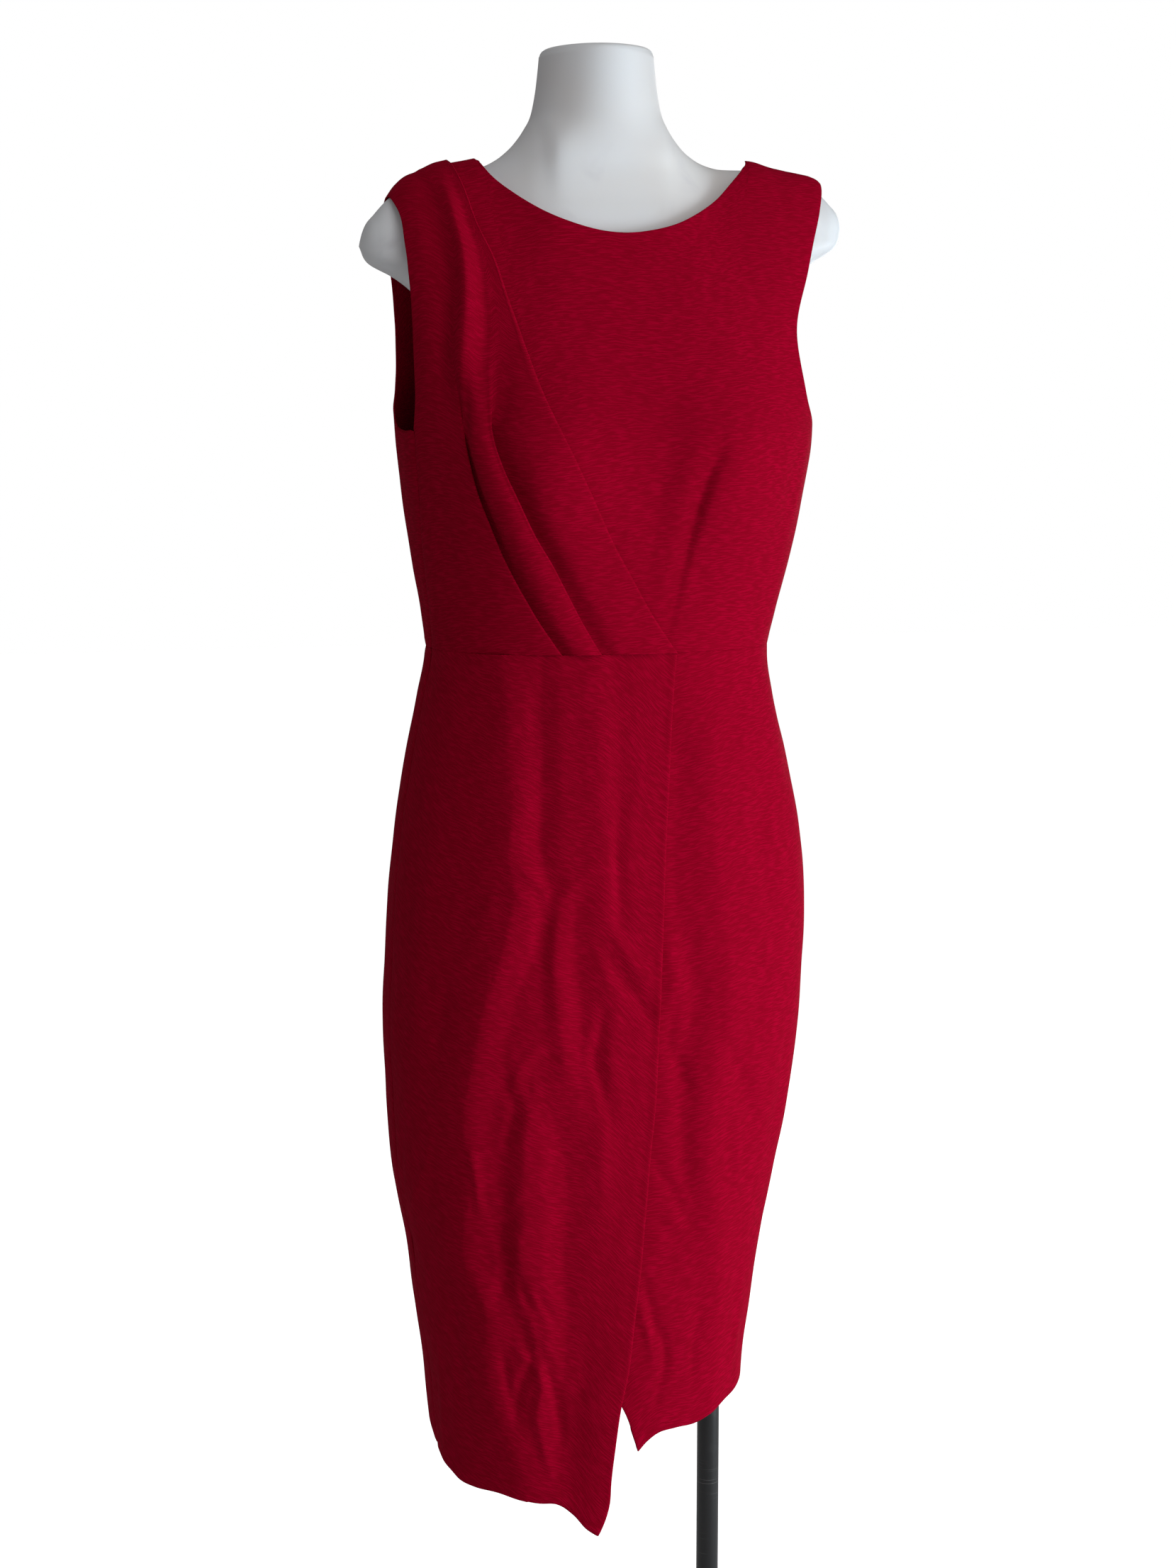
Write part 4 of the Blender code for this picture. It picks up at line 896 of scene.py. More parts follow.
UNDER_FOLDS = (
    (3.4, 14, 17, (
        (22.5, 985), (22.3, 935), (22, 904), (21.6, 869), (22.4, 839), (23.8, 802), (25, 765),
        (26, 729), (23.6, 698), (21.2, 672), (21.6, 646), (22.6, 597), (27.4, 547), (31.4, 496),
        (32.4, 448), (33, 408), (33.6, 371))),
    (-2, 10, 12, ((12.4, 985), (11.8, 930), (10, 880), (9.6, 850))),
    (-2.6, 7, 9, (
        (8.6, 860), (9.4, 838), (11.4, 816), (12.6, 790), (15, 758), (14, 725), (11.6, 695),
        (11.4, 672), (12.2, 649), (13.8, 624), (15, 600), (18.8, 568))),
    (-2, 5, 6, ((10.8, 762), (9.4, 736), (8.4, 714), (12.6, 684), (15.6, 660))),
    (-2.4, 8, 8, ((25.4, 706), (30.4, 680), (34.8, 655), (40, 627))),
    (-2, 10, 11, ((41, 950), (39, 905), (38, 871), (39.6, 828), (42, 790))),
    (1.5, 5, 7, ((7.6, 800), (8.8, 765), (9.6, 745))),
    (-1.8, 4.5, 5, ((3.6, 617), (7, 600), (11.4, 581), (16.2, 559), (19.4, 549))),
    (-1.4, 3.5, 4.5, ((6.2, 560), (10.8, 545), (17.6, 536))),
    (-2, 4, 5.5, (
        (1.8, 512), (4.2, 488), (6.4, 468), (10.4, 448), (11, 428), (8.8, 409), (7.6, 392))),
    (1.5, 4.5, 4.5, ((-0.4, 488), (3.4, 464), (6.2, 436))),
    (1.2, 5, 5, ((31, 640), (34, 600), (35, 560))),
    (-1.3, 9, 9, ((50, 720), (52, 650), (50, 580))),
    (-1.2, 4, 6, ((24, 470), (22.6, 440), (23.4, 405))),
    (1.1, 6, 8, ((45, 500), (46, 450), (44, 400))),
)


def wrap_turn(height):
    """Turn of the wrap's loose edge at a height."""
    wrap_edge = np.array(SKIRT_WRAP_EDGE)
    return smooth(height, wrap_edge[:, 1], wrap_edge[:, 0])


def side_edge(turn, hem):
    """A skirt panel's upright side seam, from its hem to the waist."""
    return (turn, hem), (turn, SIDE_MIDDLE), (turn, WAIST)


def skirt_fill(hem, left, right, columns, rows):
    """Grid of a skirt panel between its hem, its two upright edges and the waist seam."""
    top = WAIST - HALF_SEAM
    left, right = ((*side[:-1], (side[-1][0], top)) for side in (left, right))
    top_line = level_line(left[-1][0], right[-1][0], top, columns)
    return fill(edge(hem, columns), top_line, left, right, rows)


def turned_in(distance, depth):
    """1 where a ply is turned in behind an edge, 0 past its raw edge."""
    return 1 - ramp(distance, depth - 0.0006, depth + 0.0006)


def hemmed(grid, facing=0.0):
    """Thickness of a skirt panel: two plies along its turned hem and wherever facing is 1."""
    hem = turned_in(seam_distance(grid, "bottom"), HEM_DEPTH)
    return CLOTH + PLY * np.maximum(hem, facing)


seam_right = RIGHT_SEAM[0][0] - side_inset
under_hem = (*SKIRT_UNDER_HEM[:-1], (seam_right, SKIRT_UNDER_HEM[-1][1]))
under_grid = skirt_fill(under_hem, SKIRT_UNDER_EDGE, side_edge(*under_hem[-1]), 118, 200)
under_lift = folded(under_grid, UNDER_FOLDS, 1 - ramp(under_grid[..., 0], *UNDER_CALM))
past_wrap = under_grid[..., 0] - wrap_turn(under_grid[..., 1])
for hang, ease in ((SLACK, SLACK_EASE), (HIDDEN_DIP, DIP_EASE)):
    under_lift -= hang * (1 - ramp(past_wrap, *ease))
under_lift += sunk(under_grid, "right") + sunk(under_grid, "top", pulled=LIGHT_PULL)
skirt_lower = cloth(
    "skirt_lower_layer", raised(under_grid, under_lift, -1), hemmed(under_grid), CREPE
)
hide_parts("skirt_front_under")
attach(skirt_lower, "root")

# ---------------------------------------------------------------- wrap layer of the skirt
# The left front, lapped over the lower layer: a straight folded edge falls from the point of
# the wrap and swings away to the left, to the hem's long point. It hangs in deep soft folds.

SKIRT_WRAP_HEM = (
    (-86.0, 0.336), (-80.0, 0.3305), (-69.0, 0.3247), (-62.5, 0.3204), (-54.6, 0.3190),
    (-44.5, 0.3190), (-36.5, 0.3147), (-31.2, 0.3125), (-25.8, 0.3120), (-20.7, 0.3025),
    (-16.4, 0.2900), (-13.3, 0.2845),
)
LAYER = 0.0023  # lift of the wrap over the layer beneath it
KICK = 0.007  # how far the loose edge stands forward near the hem
LOOSE_HEIGHTS, LOOSE_TURNS = (0.40, 0.70), (0, 14)  # where it comes to lie on the layer beneath
LAYER_TURNS = (-84, -40)  # turns over which the wrap rises on to that layer
WRAP_CALM, CALM_TURNS = 0.75, (66, 85)  # share of the folds that dies away towards the side seam
EDGE_SWELL, EDGE_REACH = 0.0007, 0.004  # how far the folded edge swells, and how wide
FACING_DEPTH = 0.030  # the ply folded in behind the wrap's edge
WRAP_FOLDS = (
    (6.2, 25, 13, (
        (-42.6, 1041), (-39.4, 1002), (-37.6, 978), (-36.8, 951), (-34.6, 929), (-34.4, 895),
        (-34.2, 867), (-32.8, 852), (-33.6, 821), (-35.2, 795), (-38.2, 764), (-40.4, 734),
        (-42.2, 698), (-45, 660), (-44.8, 640), (-43.6, 612), (-44.6, 588), (-47.4, 559),
        (-48.6, 524), (-45.6, 503), (-43.6, 483), (-44.8, 453), (-45, 418), (-43, 390),
        (-40.4, 365), (-37, 346), (-35, 326))),
    (-2.4, 8, 9, (
        (-29.4, 1041), (-29.2, 1003), (-27.6, 958), (-27.2, 920), (-27, 885), (-24.6, 855),
        (-23.8, 835), (-24.6, 811), (-25, 780), (-24.4, 750))),
    (1.5, 10, 8, (
        (-12.2, 1041), (-12.8, 1002), (-12, 958), (-11.2, 909), (-10.4, 859), (-9.8, 819),
        (-9.4, 778), (-8.8, 758), (-8.4, 730))),
    (-1.2, 6, 9, ((-6.6, 1026), (-5.8, 987), (-6, 943), (-6.2, 915))),
    (-1.9, 3.5, 6, ((-6.2, 925), (-6.5, 904), (-7, 874), (-6.2, 839), (-6, 815))),
    (2.5, 6, 8, (
        (-14.4, 866), (-17.6, 854), (-20.4, 842), (-21.8, 826), (-22.4, 800), (-22.2, 770),
        (-21.2, 738), (-19.6, 708), (-18.4, 690))),
    (-3, 8, 13, (
        (-18, 848), (-17.2, 812), (-16.6, 779), (-15.4, 749), (-15.2, 720), (-15.6, 700),
        (-15.2, 680))),
    (-2.6, 4.5, 6, ((-10.6, 806), (-9.4, 796), (-6.4, 777), (-2.6, 760), (1, 743), (4, 725))),
    (1.6, 4, 5, ((-8, 816), (-2.8, 787), (2, 768))),
    (-2.6, 4.5, 6, (
        (-9.8, 750), (-10.8, 723), (-12, 703), (-10.4, 685), (-8.6, 662), (-7.4, 640))),
    (2.2, 4, 5, ((-33, 867), (-29.4, 862), (-26, 850), (-24.2, 834))),
    (1.8, 9, 7, ((-33, 846), (-30.4, 842), (-28.6, 830))),
    (1.1, 4, 5, ((-32.8, 668), (-31.4, 692), (-27.6, 711), (-24, 720))),
    (1, 8, 8, ((-53.6, 935), (-49, 908), (-47.4, 880))),
    (1.1, 7, 8, ((-38.4, 850), (-41.4, 822), (-45, 795))),
    (3.6, 8, 15, (
        (-27.4, 668), (-29.6, 640), (-30.2, 602), (-30.8, 566), (-33.4, 534), (-32.4, 508),
        (-31.2, 490), (-31, 466))),
    (-3.6, 10, 15, (
        (-26, 704), (-24.4, 672), (-20.8, 636), (-19.4, 599), (-20, 561), (-21.2, 522),
        (-20.8, 493), (-21.4, 455), (-23.4, 416), (-23.4, 377), (-25, 335))),
    (1.4, 8, 8, ((-7.6, 705), (-8.8, 660), (-10.2, 610), (-10.4, 560))),
    (1.9, 3.5, 4, ((-43.8, 628), (-42.4, 604), (-42, 574))),
    (-2, 4, 5, ((-34.6, 690), (-33.2, 677), (-32, 663), (-33, 648), (-34.6, 632))),
    (-2.6, 6, 7, ((-35.6, 580), (-37, 546), (-36.2, 527), (-38.4, 507), (-40.6, 490))),
    (1.4, 3.5, 4.5, ((-39, 590), (-36.6, 579), (-33.4, 582), (-31.8, 596))),
    (-1.9, 3, 4, ((-33.6, 518), (-32.6, 504), (-31.4, 492), (-29.2, 481))),
    (-1.6, 3, 4, ((-28.4, 503), (-26.8, 490), (-24.8, 476))),
    (-2.3, 4, 5.5, ((-34, 474), (-33, 457), (-31.8, 441), (-34.6, 425), (-37, 405), (-37.8, 390))),
    (-1.9, 3.5, 4, ((-40, 448), (-39.6, 418), (-38, 396))),
    (-2.1, 3.5, 5, ((-28.8, 454), (-27.6, 436), (-26.2, 416), (-25, 392), (-24.4, 368))),
    (1.8, 4.5, 5, (
        (-35.4, 449), (-31, 438), (-29.2, 417), (-31, 397), (-29.8, 367), (-27.2, 336))),
    (-1.7, 9, 8, ((-55.6, 485), (-56.2, 430), (-54.8, 385))),
    (-2.6, 12, 9, ((-90, 533), (-83, 523), (-78, 510))),
    (1.5, 6, 6, ((-80, 552), (-70, 575), (-62, 600), (-58.6, 625), (-57.5, 645))),
    (-1.4, 6, 6, ((-74, 640), (-78, 600), (-82, 560))),
    (1.3, 6, 7, ((-70, 430), (-73, 385), (-76, 345))),
    (1.3, 14, 14, ((-62, 900), (-61, 840), (-64, 780), (-63, 700))),
    (-1.2, 7, 9, ((-50, 780), (-53, 740), (-54, 690))),
)

seam_left = LEFT_SEAM[0][0] + side_inset
wrap_hem = ((seam_left, SKIRT_WRAP_HEM[0][1]), *SKIRT_WRAP_HEM[1:])
wrap_grid = skirt_fill(wrap_hem, side_edge(*wrap_hem[0]), SKIRT_WRAP_EDGE, 150, 250)
wrap_round, wrap_height = wrap_grid[..., 0], wrap_grid[..., 1]
from_edge = wrap_turn(wrap_height) - wrap_round
loose = (1 - ramp(wrap_height, *LOOSE_HEIGHTS)) * (1 - ramp(from_edge, *LOOSE_TURNS))
wrap_rise = LAYER * ramp(wrap_round, *LAYER_TURNS) + KICK * loose
wrap_rise += folded(wrap_grid, WRAP_FOLDS, 1 - WRAP_CALM * ramp(-wrap_round, *CALM_TURNS))
edge_distance = seam_distance(wrap_grid, "right")
wrap_rise += EDGE_SWELL * np.exp(-((edge_distance / EDGE_REACH) ** 2)) + sunk(wrap_grid, "left")
wrap_plies = hemmed(wrap_grid, turned_in(edge_distance, FACING_DEPTH))
skirt_wrap = cloth(
    "skirt_wrap_layer", raised(wrap_grid, wrap_rise, -1), wrap_plies, CREPE, slant=0.30
)
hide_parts("skirt_front_wrap")
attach(skirt_wrap, "root")

# ---------------------------------------------------------------- back of the skirt
# One plain piece with no vent, joined to both fronts at the sides. Its hem rises a little
# towards the right, and it hangs from the seat in long uneven folds like those in front.

BACK_HEM = (
    (85.0, 0.400), (110.0, 0.397), (145.0, 0.390), (180.0, 0.385), (215.0, 0.381),
    (240.0, 0.374), (254.0, 0.362), (264.0, 0.348), (274.0, 0.336),
)
SKIRT_BACK_FOLDS = (
    (-3.5, 20, 16, ((172, 950), (176, 800), (181, 620), (178, 450))),
    (3.5, 14, 20, ((146, 900), (150, 760), (148, 600), (153, 440))),
    (3, 20, 15, ((212, 860), (206, 700), (209, 550), (202, 420))),
    (-2.5, 13, 18, ((232, 780), (228, 640), (231, 500))),
    (-1.8, 7, 9, ((160, 720), (163, 650), (161, 560), (165, 480))),
    (1.6, 6, 8, ((190, 640), (193, 570), (190, 500))),
    (-1.6, 6, 8, ((197, 560), (195, 500), (198, 430))),
    (-1.5, 6, 6, ((131, 680), (134, 610), (130, 550))),
    (1.5, 7, 6, ((122, 600), (125, 530), (121, 460))),
    (-1.3, 5, 7, ((220, 470), (217, 430), (219, 400))),
    (-1.2, 12, 12, ((195, 990), (186, 975), (170, 985))),
)
REAR_DEPTH = 1.4  # the back's folds are this much deeper than the heights in their table
back_hem = (
    (back_right[0][0], BACK_HEM[0][1]), *BACK_HEM[1:-1], (back_left[0][0], BACK_HEM[-1][1]),
)
rear_grid = skirt_fill(back_hem, side_edge(*back_hem[0]), side_edge(*back_hem[-1]), 150, 210)
rear_lift = folded(rear_grid, SKIRT_BACK_FOLDS, REAR_DEPTH)
rear_lift += sunk(rear_grid, "left", "right", "top")
skirt_rear = cloth("skirt_rear", raised(rear_grid, rear_lift, 1), hemmed(rear_grid), CREPE)
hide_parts("skirt_back")
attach(skirt_rear, "root")

# ---------------------------------------------------------------- torso form
# A limbless moulded shell in satin white: neck with a flat capped top, rounded caps where the
# arms would start, a flat underside. Handling has left grey smears and fine scratches.

FORM_BOTTOM = 0.70
NECK_TOP = 1.542
# Height, half width, front depth, back depth
FORM_ROWS = np.array([
    (0.700, 0.1600, 0.112, 0.118),
    (0.760, 0.1660, 0.115, 0.122),
    (0.830, 0.1680, 0.116, 0.123),
    (0.890, 0.1630, 0.113, 0.118),
    (0.950, 0.1520, 0.109, 0.110),
    (1.000, 0.1410, 0.103, 0.100),
    (1.042, 0.1365, 0.099, 0.091),
    (1.070, 0.1405, 0.100, 0.090),
    (1.110, 0.1460, 0.104, 0.094),
    (1.160, 0.1510, 0.109, 0.100),
    (1.210, 0.1540, 0.110, 0.106),
    (1.260, 0.1540, 0.104, 0.109),
    (1.310, 0.1555, 0.096, 0.108),
    (1.345, 0.1650, 0.088, 0.103),
    (1.360, 0.1840, 0.081, 0.098),
    (1.372, 0.2050, 0.076, 0.093),
    (1.386, 0.2137, 0.070, 0.087),
    (1.400, 0.2250, 0.066, 0.081),
    (1.420, 0.2400, 0.0585, 0.0725),
    (1.440, 0.2500, 0.0545, 0.0645),
    (1.460, 0.2500, 0.056, 0.061),
    (1.500, 0.2500, 0.0565, 0.058),
    (1.545, 0.2500, 0.056, 0.056),
])
# Outline above the arm caps: distance from the middle, height
FORM_TOP = np.array([
    (0.0000, 1.6900), (0.0100, 1.6885), (0.0200, 1.6780), (0.0300, 1.6500), (0.0400, 1.6000),
    (0.0475, NECK_TOP), (0.0495, 1.523), (0.0520, 1.505), (0.0560, 1.4877), (0.0610, 1.478),
    (0.0690, 1.4668), (0.0820, 1.4551), (0.0995, 1.4465), (0.1220, 1.4432), (0.1400, 1.4415),
    (0.1600, 1.4383), (0.1750, 1.4330), (0.1900, 1.4225), (0.2000, 1.4120), (0.2080, 1.4020),
    (0.2137, 1.3860),
])
# Rings over the shoulders: the outline's half widths and heights from the arm caps to the neck,
# with the heights at front and back centre
FORM_RINGS = np.column_stack([FORM_TOP[:4:-1], (
    1.362, 1.376, 1.387, 1.397, 1.407, 1.416, 1.424, 1.431, 1.439, 1.450, 1.463, 1.476, 1.487,
    1.505, 1.523, NECK_TOP,
)])
# Rings below them: height at the sides, height at front and back centre
BODY_RINGS = np.array([
    *((z, z) for z in (FORM_BOTTOM, 0.745, 0.825, 0.915, 0.995, 1.060, 1.130)),
    (1.190, 1.187), (1.255, 1.240), (1.320, 1.290), (1.357, 1.330), (1.370, 1.346), (1.386, 1.362),
])
NECK_DEPTH = 0.054  # half the neck's oval from front to back
NECK_SPREAD = (-0.040, -0.024, -0.008, 0.008, 0.024, 0.040)  # over which the neck's flare eases
NECK_BLEND = (1.450, 1.492)  # heights over which the shoulders turn into that oval
NECK_ROOT = (0.09, 0.13)  # half widths over which its flare gives way to the shoulders
CAP_ROOT, CAP_EDGE = (0.14, 0.18), (0.185, 0.205)  # half widths where the caps start and round over
FORM_BUST = 0.8  # share of the dress's bust
CAPS_ASIDE = 0.008  # how far the arm caps sit to the right of the middle
CAPS_TILT = 0.045  # and rise to the right, for each metre of width
CAPS_FROM = (1.26, 1.37), (0.06, 0.16)  # heights, and half widths, over which both come in
CAPS_SLIM = 0.11  # share by which the caps are thinner from front to back than the chest's oval
FORM_ROUND = 0.005  # rounding of the neck's top edge and of the underside


def form_depths(x, z):
    """How far the form's front and back stand off its middle plane at (x, z)."""
    half, front, back = (smooth(z, FORM_ROWS[:, 0], FORM_ROWS[:, i]) for i in (1, 2, 3))
    power = squareness(z)
    oval = np.clip(1 - np.abs(x / half) ** power, 0, 1) ** (1 / power)
    top = smooth(np.abs(x), FORM_TOP[:, 0], FORM_TOP[:, 1])
    raw = np.clip((z - CROWN) / (top - CROWN), 0, 1)
    wide = sum(smooth(np.abs(x + d), FORM_TOP[:, 0], FORM_TOP[:, 1]) for d in NECK_SPREAD)
    wide /= len(NECK_SPREAD)
    top += (wide - top) * (1 - raw**3) * (1 - ramp(np.abs(x), *NECK_ROOT))
    climb = np.clip((z - CROWN) / (top - CROWN), 0, 1)
    rounding = 4 + 4 * ramp(np.abs(x), *CAP_EDGE)
    closing = np.sqrt(np.clip(1 - climb**rounding, 0, 1))
    closing *= 1 - CAPS_SLIM * ramp(np.abs(x), *CAP_ROOT)
    return front * oval * closing + FORM_BUST * bust(x, z) * oval, back * oval * closing


def on_stand(points):
    """The form as it sits on its stand: the shoulders aside and tilted, the body below upright."""
    share = ramp(points[..., 2], *CAPS_FROM[0]) * ramp(np.abs(points[..., 0]), *CAPS_FROM[1])
    moved = points.copy()
    moved[..., 0] += CAPS_ASIDE * share
    moved[..., 2] += CAPS_TILT * points[..., 0] * share
    return moved


def form_rings(around, body_rows, shoulder_rows):
    """Rings of the form: x across each goes as the sine of the way round, and its depth is read."""
    body = np.linspace(0, len(BODY_RINGS) - 1, body_rows)
    index = np.arange(len(BODY_RINGS))
    side_z, middle_z = (smooth(body, index, BODY_RINGS[:, i]) for i in (0, 1))
    half = smooth(side_z, FORM_ROWS[:, 0], FORM_ROWS[:, 1])
    above = np.linspace(0, len(FORM_RINGS) - 1, shoulder_rows)[1:]
    index = np.arange(len(FORM_RINGS))
    half, side_z, middle_z = (
        np.concatenate([below, smooth(above, index, FORM_RINGS[:, i])])[:, None]
        for i, below in enumerate((half, side_z, middle_z))
    )
    quarter = around // 4
    sine = np.sin(np.linspace(-math.pi / 2, math.pi / 2, 2 * quarter + 1))[None]
    x = half * sine
    z = side_z + (middle_z - side_z) * (1 - sine**2)
    front, back = form_depths(x, z)
    front[:, [0, -1]] = back[:, [0, -1]] = 0
    neck = ramp(side_z, *NECK_BLEND)
    front, back = ((1 - neck) * d + neck * NECK_DEPTH * np.sqrt(1 - sine**2) for d in (front, back))
    front_half = np.stack([x, lean(z) - front, z], -1)
    back_half = np.stack([x, lean(z) + back, z], -1)[:, -2:0:-1]
    return on_stand(np.concatenate([front_half, back_half], axis=1))


def capped(rings, edge_round):
    """Rings with a rounded edge and a closed flat cap at each end: rings drawn in to a middle."""
    caps = []
    for ring, way in ((rings[0], -1), (rings[-1], 1)):
        middle = ring.mean(0)
        reach = np.linalg.norm((ring - middle)[:, :2], axis=-1, keepdims=True)
        rows = []
        for a in np.radians((0, 22, 45, 67, 90)):
            drawn = middle + (ring - middle) * (1 - edge_round * (1 - math.cos(a)) / reach)
            drawn[:, 2] = ring[:, 2] - way * edge_round * (1 - math.sin(a))
            rows.append(drawn)
        inside = rows[-1]
        rows += [middle + (inside - middle) * share for share in (0.8, 0.5, 0.2)]
        rows[-3:] = [np.column_stack([r[:, :2], inside[:, 2]]) for r in rows[-3:]]
        caps.append(rows)
    keep = (rings[:, :, 2].max(1) > rings[0, 0, 2] + edge_round) & (
        rings[:, :, 2].min(1) < rings[-1, 0, 2] - edge_round)
    return np.concatenate([np.array(caps[0][::-1]), rings[keep], np.array(caps[1])])


def turned_faces(rows, around):
    """Faces of rings closed round, with a fan of four-sided faces over the first and last ring."""
    number = np.arange(rows * around).reshape(rows, around)
    after = np.roll(number, -1, axis=1)
    sides = np.stack([number[:-1], after[:-1], after[1:], number[1:]], -1).reshape(-1, 4)
    k = np.arange(around // 2 - 1)
    across = np.stack([k, k + 1, around - 2 - k, around - 1 - k], -1)
    return np.concatenate([sides, number[0][across[:, [1, 0, 3, 2]]], number[-1][across]])


def wear_group():
    """Wear of a hard glossy finish: soft smears from hands, and short fine scratches."""
    tree, n, given, out = new_group(
        "handling_wear",
        (("Place", "NodeSocketVector", None), ("Smears per metre", "NodeSocketFloat", 14.0)),
        [(label, "NodeSocketFloat") for label in ("Smear", "Scratch", "Grain")],
    )
    place = given["Place"]
    smear = n.noise(place, given["Smears per metre"], 4.0, 0.8)
    broken = n.spread(n.noise(place, 55.0, 2.0), 0.55, 0.75)
    hair = n.noise(n.stretched(place, (900.0, 120.0, 60.0)), 1.0, 1.0, 0.3)
    n.link(n.spread(smear, 0.58, 0.80), out["Smear"])
    n.link(n.math("MULTIPLY", n.spread(hair, 0.74, 0.80), broken), out["Scratch"])
    n.link(n.noise(place, 900.0, 2.0), out["Grain"])
    return tree


WEAR_GROUP = wear_group()


def form_material():
    """Satin white: a cool ground, grey-lilac smears, pale scratches that take the shine."""
    made, n, shader = new_material(
        "form_white", Coat_Weight=0.10, Coat_Roughness=0.40, Subsurface_Weight=0.08,
        Subsurface_Radius=(0.012, 0.010, 0.008), Subsurface_Scale=0.5,
    )
    place = n.add("ShaderNodeTexCoord").outputs["Object"]
    wear = n.group(WEAR_GROUP, Place=place)
    cloud = n.spread(n.noise(place, 6.0, 2.0), 0.35, 0.7)
    ground = n.mix(cloud, (0.90, 0.93, 0.97, 1), (0.86, 0.84, 0.83, 1))
    smeared = n.mix(n.math("MULTIPLY", wear["Smear"], 0.40), ground, (0.52, 0.50, 0.56, 1))
    scratched = n.mix(n.math("MULTIPLY", wear["Scratch"], 0.55), smeared, (0.90, 0.90, 0.90, 1))
    rough = n.math("ADD", n.math("MULTIPLY", wear["Smear"], 0.18), 0.44)
    rough = n.math("ADD", rough, n.math("MULTIPLY", wear["Scratch"], 0.25))
    n.link(scratched, shader.inputs["Base Color"])
    n.link(rough, shader.inputs["Roughness"])
    n.link(n.bump(wear["Grain"], 0.06, 0.0004), shader.inputs["Normal"])
    return made


FORM_WHITE = form_material()
AROUND = 192
form_points = capped(form_rings(AROUND, 150, 110), FORM_ROUND)
torso = mesh_object(
    "torso_shell", form_points.reshape(-1, 3), turned_faces(len(form_points), AROUND), FORM_WHITE
)
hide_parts("form_torso")
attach(torso, "root")

# ---------------------------------------------------------------- pole and foot
# A black tube from a flanged socket under the form down to a hub on a round steel base, all
# powder coated. Sliding the form up and down has left thin pale rings round the tube.

POLE_X = 0.104
NEARLY_NONE = 0.0005  # radius of the innermost ring of a turned face, which a fan closes


def rounded_profile(points, radius):
    """(radius, height) points with each corner cut back and carried round in three short steps."""
    points = np.array(points)
    out = [points[0]]
    for before, corner, after in zip(points, points[1:], points[2:]):
        start = corner + unit(before - corner) * min(radius, np.linalg.norm(before - corner) / 2.2)
        end = corner + unit(after - corner) * min(radius, np.linalg.norm(after - corner) / 2.2)
        for t in (0, 0.33, 0.67, 1):
            out.append((1 - t) ** 2 * start + 2 * t * (1 - t) * corner + t**2 * end)
    return np.array([*out, points[-1]])


def turned_piece(name, node, steps, radius, around=96):
    """A piece turned about the pole's axis, with rounded corners, in place of its CAD node.

    A step is (radius, share of the node's height, metres below that). The piece starts and ends
    at its middle.
    """
    (_, _, low), (_, _, high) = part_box(node)
    profile = rounded_profile([
        (NEARLY_NONE, low),
        *((wide, (1 - share) * low + share * high - drop) for wide, share, drop in steps),
        (NEARLY_NONE, high),
    ], radius)
    angle = np.arange(around) * 2 * math.pi / around
    x = POLE_X + profile[:, :1] * np.cos(angle)
    y = profile[:, :1] * np.sin(angle)
    z = np.broadcast_to(profile[:, 1:], x.shape)
    rings = np.stack([x, y, z], -1)
    made = mesh_object(name, rings.reshape(-1, 3), turned_faces(len(profile), around), POLE_BLACK)
    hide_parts(node)
    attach(made, "root")


def pole_material():
    """Satin black: a fine orange-peel coat, with thin pale scuff rings and dusty smears."""
    made, n, shader = new_material("pole_black", Coat_Weight=0.15, Coat_Roughness=0.35)
    place = n.add("ShaderNodeTexCoord").outputs["Object"]
    wear = n.group(WEAR_GROUP, Place=place, Smears_per_metre=40.0)
    ring = n.noise(n.stretched(place, (14.0, 14.0, 1100.0)), 1.0, 2.0)
    worn = n.spread(n.noise(n.stretched(place, (60.0, 60.0, 30.0)), 1.0, 1.0), 0.45, 0.70)
    ringed = n.math("MULTIPLY", n.spread(ring, 0.62, 0.74), worn)
    dusty = n.math("MULTIPLY", wear["Smear"], 0.5)
    base = n.mix(dusty, (0.010, 0.010, 0.011, 1), (0.035, 0.033, 0.033, 1))
    colour = n.mix(n.math("MULTIPLY", ringed, 0.75), base, (0.16, 0.15, 0.15, 1))
    rough = n.spread(n.math("ADD", ringed, wear["Smear"]), 0, 1, 0.34, 0.58)
    n.link(colour, shader.inputs["Base Color"])
    n.link(rough, shader.inputs["Roughness"])
    n.link(n.bump(wear["Grain"], 0.12, 0.0003), shader.inputs["Normal"])
    return made


POLE_BLACK = pole_material()


FLANGE = 0.004  # thickness of the socket's flange
turned_piece("foot_plate", "base", ((0.175, 0, 0), (0.175, 1, 0)), 0.003, 160)
turned_piece("foot_hub", "hub", ((0.021, 0, 0), (0.021, 0.7, 0), (0.014, 1, 0)), 0.0015)
turned_piece("pole_tube", "pole", ((0.010, 0, 0), (0.010, 1, 0)), 0.0006)
turned_piece("pole_socket", "socket", (
    (0.016, 0, 0), (0.016, 1, FLANGE), (0.036, 1, FLANGE), (0.036, 1, 0),
), 0.001)

# ---------------------------------------------------------------- studio
# A pale floor and soft light: a low panel on the right, which shades the left of the dress, a
# fill on the right front, one panel above and one behind. The camera looks from the left front.

CAMERA_TURN = math.radians(-16)
CAMERA_AWAY = 2.2
CAMERA_HEIGHT = 1.228
CAMERA_TILT = math.radians(8)
CAMERA_SIDE = -0.0101
FRAME_HIGH, FOCAL_PIXELS = 2212, 3586
SENSOR = 36
FLOOR = -0.0005  # just under the foot
FLOOR_GLOW = 0.85  # keeps the floor pale without lighting the dress from below
AMBIENT = 0.205  # strength of the light from all round
KEY_SPREAD = math.radians(95)

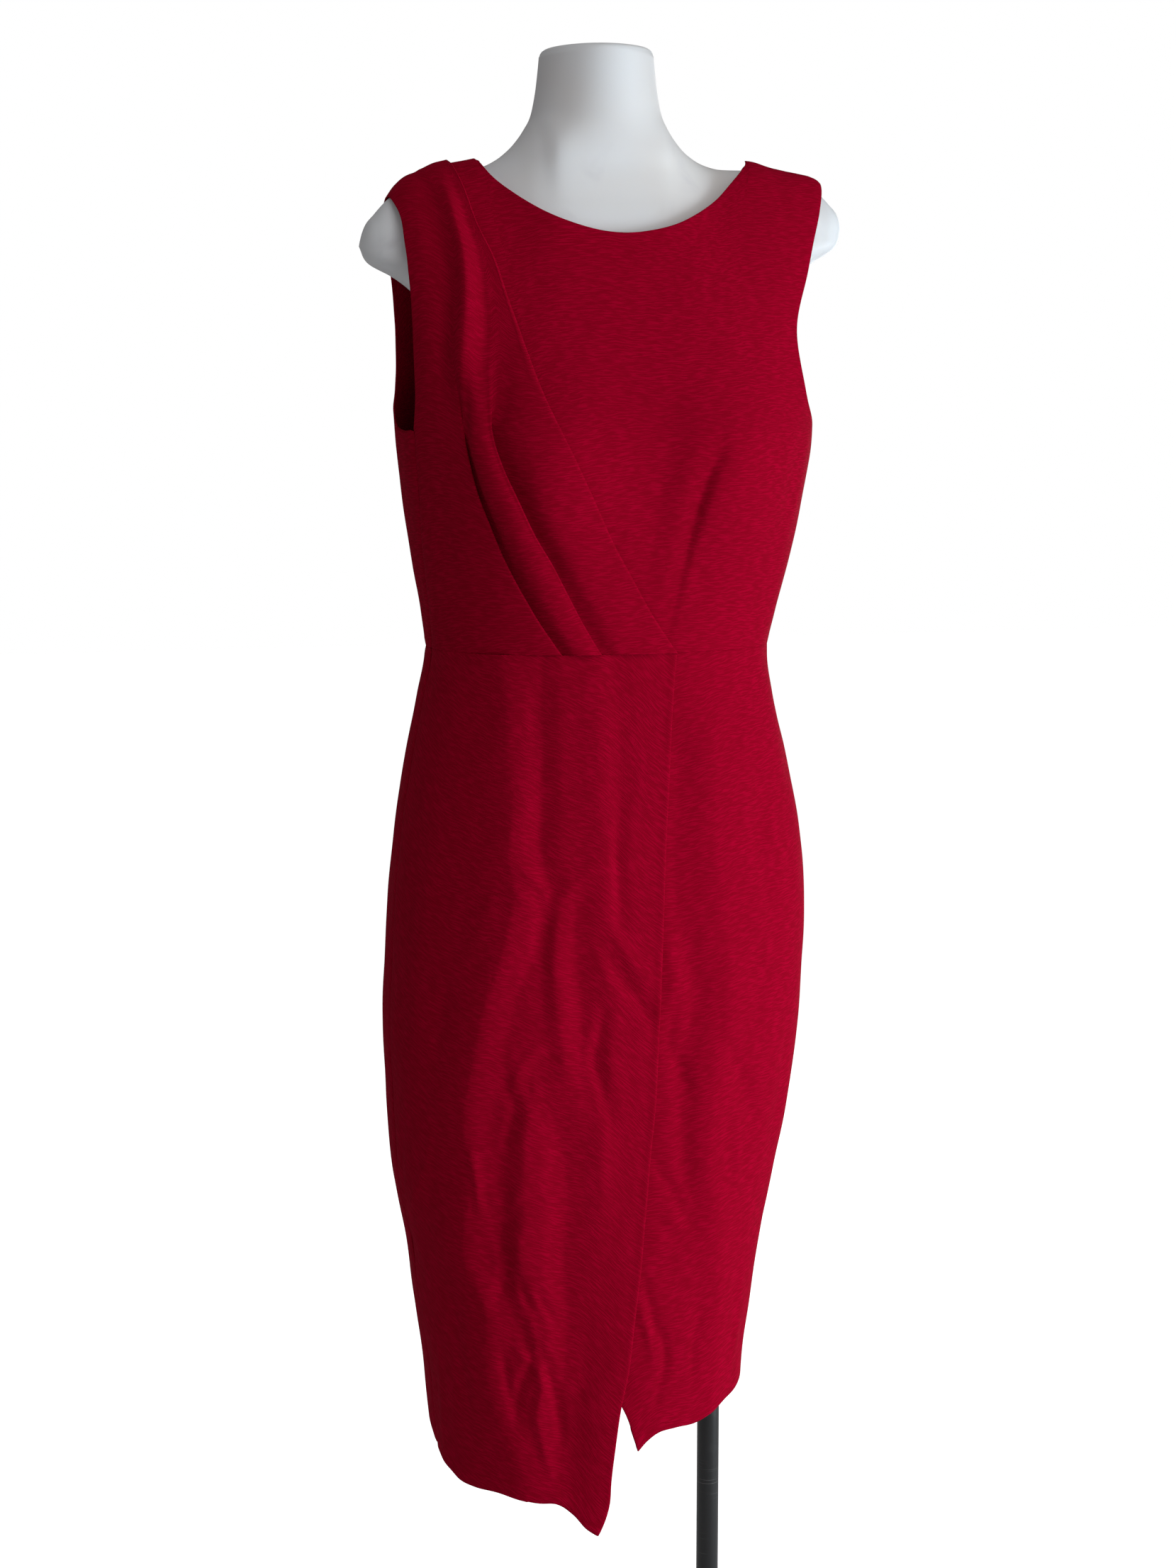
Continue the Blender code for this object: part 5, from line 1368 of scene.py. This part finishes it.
floor_look, n, shader = new_material("pale_floor", Base_Color=(0.85, 0.85, 0.85, 1), Roughness=0.9)
seen = n.add("ShaderNodeLightPath").outputs["Is Camera Ray"]
n.link(n.math("MULTIPLY", seen, FLOOR_GLOW), shader.inputs["Emission Strength"])
shader.inputs["Emission Color"].default_value = (1, 1, 1, 1)
floor_points = np.array([(-9, -9, FLOOR), (9, -9, FLOOR), (9, 12, FLOOR), (-9, 12, FLOOR)])
floor = mesh_object("floor", floor_points, np.array([(0, 1, 2, 3)]), floor_look)

world = bpy.data.worlds.new("studio")
bpy.context.scene.world = world
world.use_nodes = True
sky = Nodes(world.node_tree)
background = world.node_tree.nodes["Background"]
seen = sky.add("ShaderNodeLightPath").outputs["Is Camera Ray"]
sky.link(sky.spread(seen, 0, 1, AMBIENT, 1.0), background.inputs["Strength"])
sky.link(sky.mix(seen, (1, 0.97, 0.95, 1), (1, 1, 1, 1)), background.inputs["Color"])


def panel_light(name, place, aim, size, watts, colour=(1, 1, 1)):
    """A panel of light at a place, turned to face what it is aimed at."""
    lamp = bpy.data.lights.new(name, "AREA")
    lamp.shape = "RECTANGLE"
    lamp.size, lamp.size_y = size
    lamp.energy = watts
    lamp.color = colour
    made = bpy.data.objects.new(name, lamp)
    bpy.context.scene.collection.objects.link(made)
    made.location = place
    way = np.array(aim, float) - np.array(place, float)
    flat = math.hypot(way[0], way[1])
    made.rotation_euler = (math.pi / 2 + math.atan2(way[2], flat), 0, math.atan2(-way[0], way[1]))
    return made


key = panel_light("key", (1.95, -1.35, 0.70), (0, 0, 0.60), (1.1, 1.4), 14.5, (0.84, 0.94, 1.0))
key.data.spread = KEY_SPREAD
panel_light("fill", (0.9, -2.8, 1.1), (0, 0, 0.9), (1.6, 1.6), 8.5)
panel_light("top", (0.2, -1.4, 2.7), (0, 0, 1.35), (1.2, 1.2), 7)
panel_light("behind", (1.7, 2.3, 1.3), (0, 0, 0.95), (1.2, 1.2), 17)

lens = bpy.data.cameras.new("camera")
lens.sensor_width = SENSOR
lens.lens = FOCAL_PIXELS * SENSOR / FRAME_HIGH
camera = bpy.data.objects.new("camera", lens)
bpy.context.scene.collection.objects.link(camera)
back = np.array([math.sin(CAMERA_TURN), -math.cos(CAMERA_TURN), 0])
right = np.array([math.cos(CAMERA_TURN), math.sin(CAMERA_TURN), 0])
camera.location = back * CAMERA_AWAY + right * CAMERA_SIDE + np.array([0, 0, CAMERA_HEIGHT])
camera.rotation_euler = (math.pi / 2 - CAMERA_TILT, 0, CAMERA_TURN)
bpy.context.scene.camera = camera
bpy.context.scene.view_settings.view_transform = "Standard"
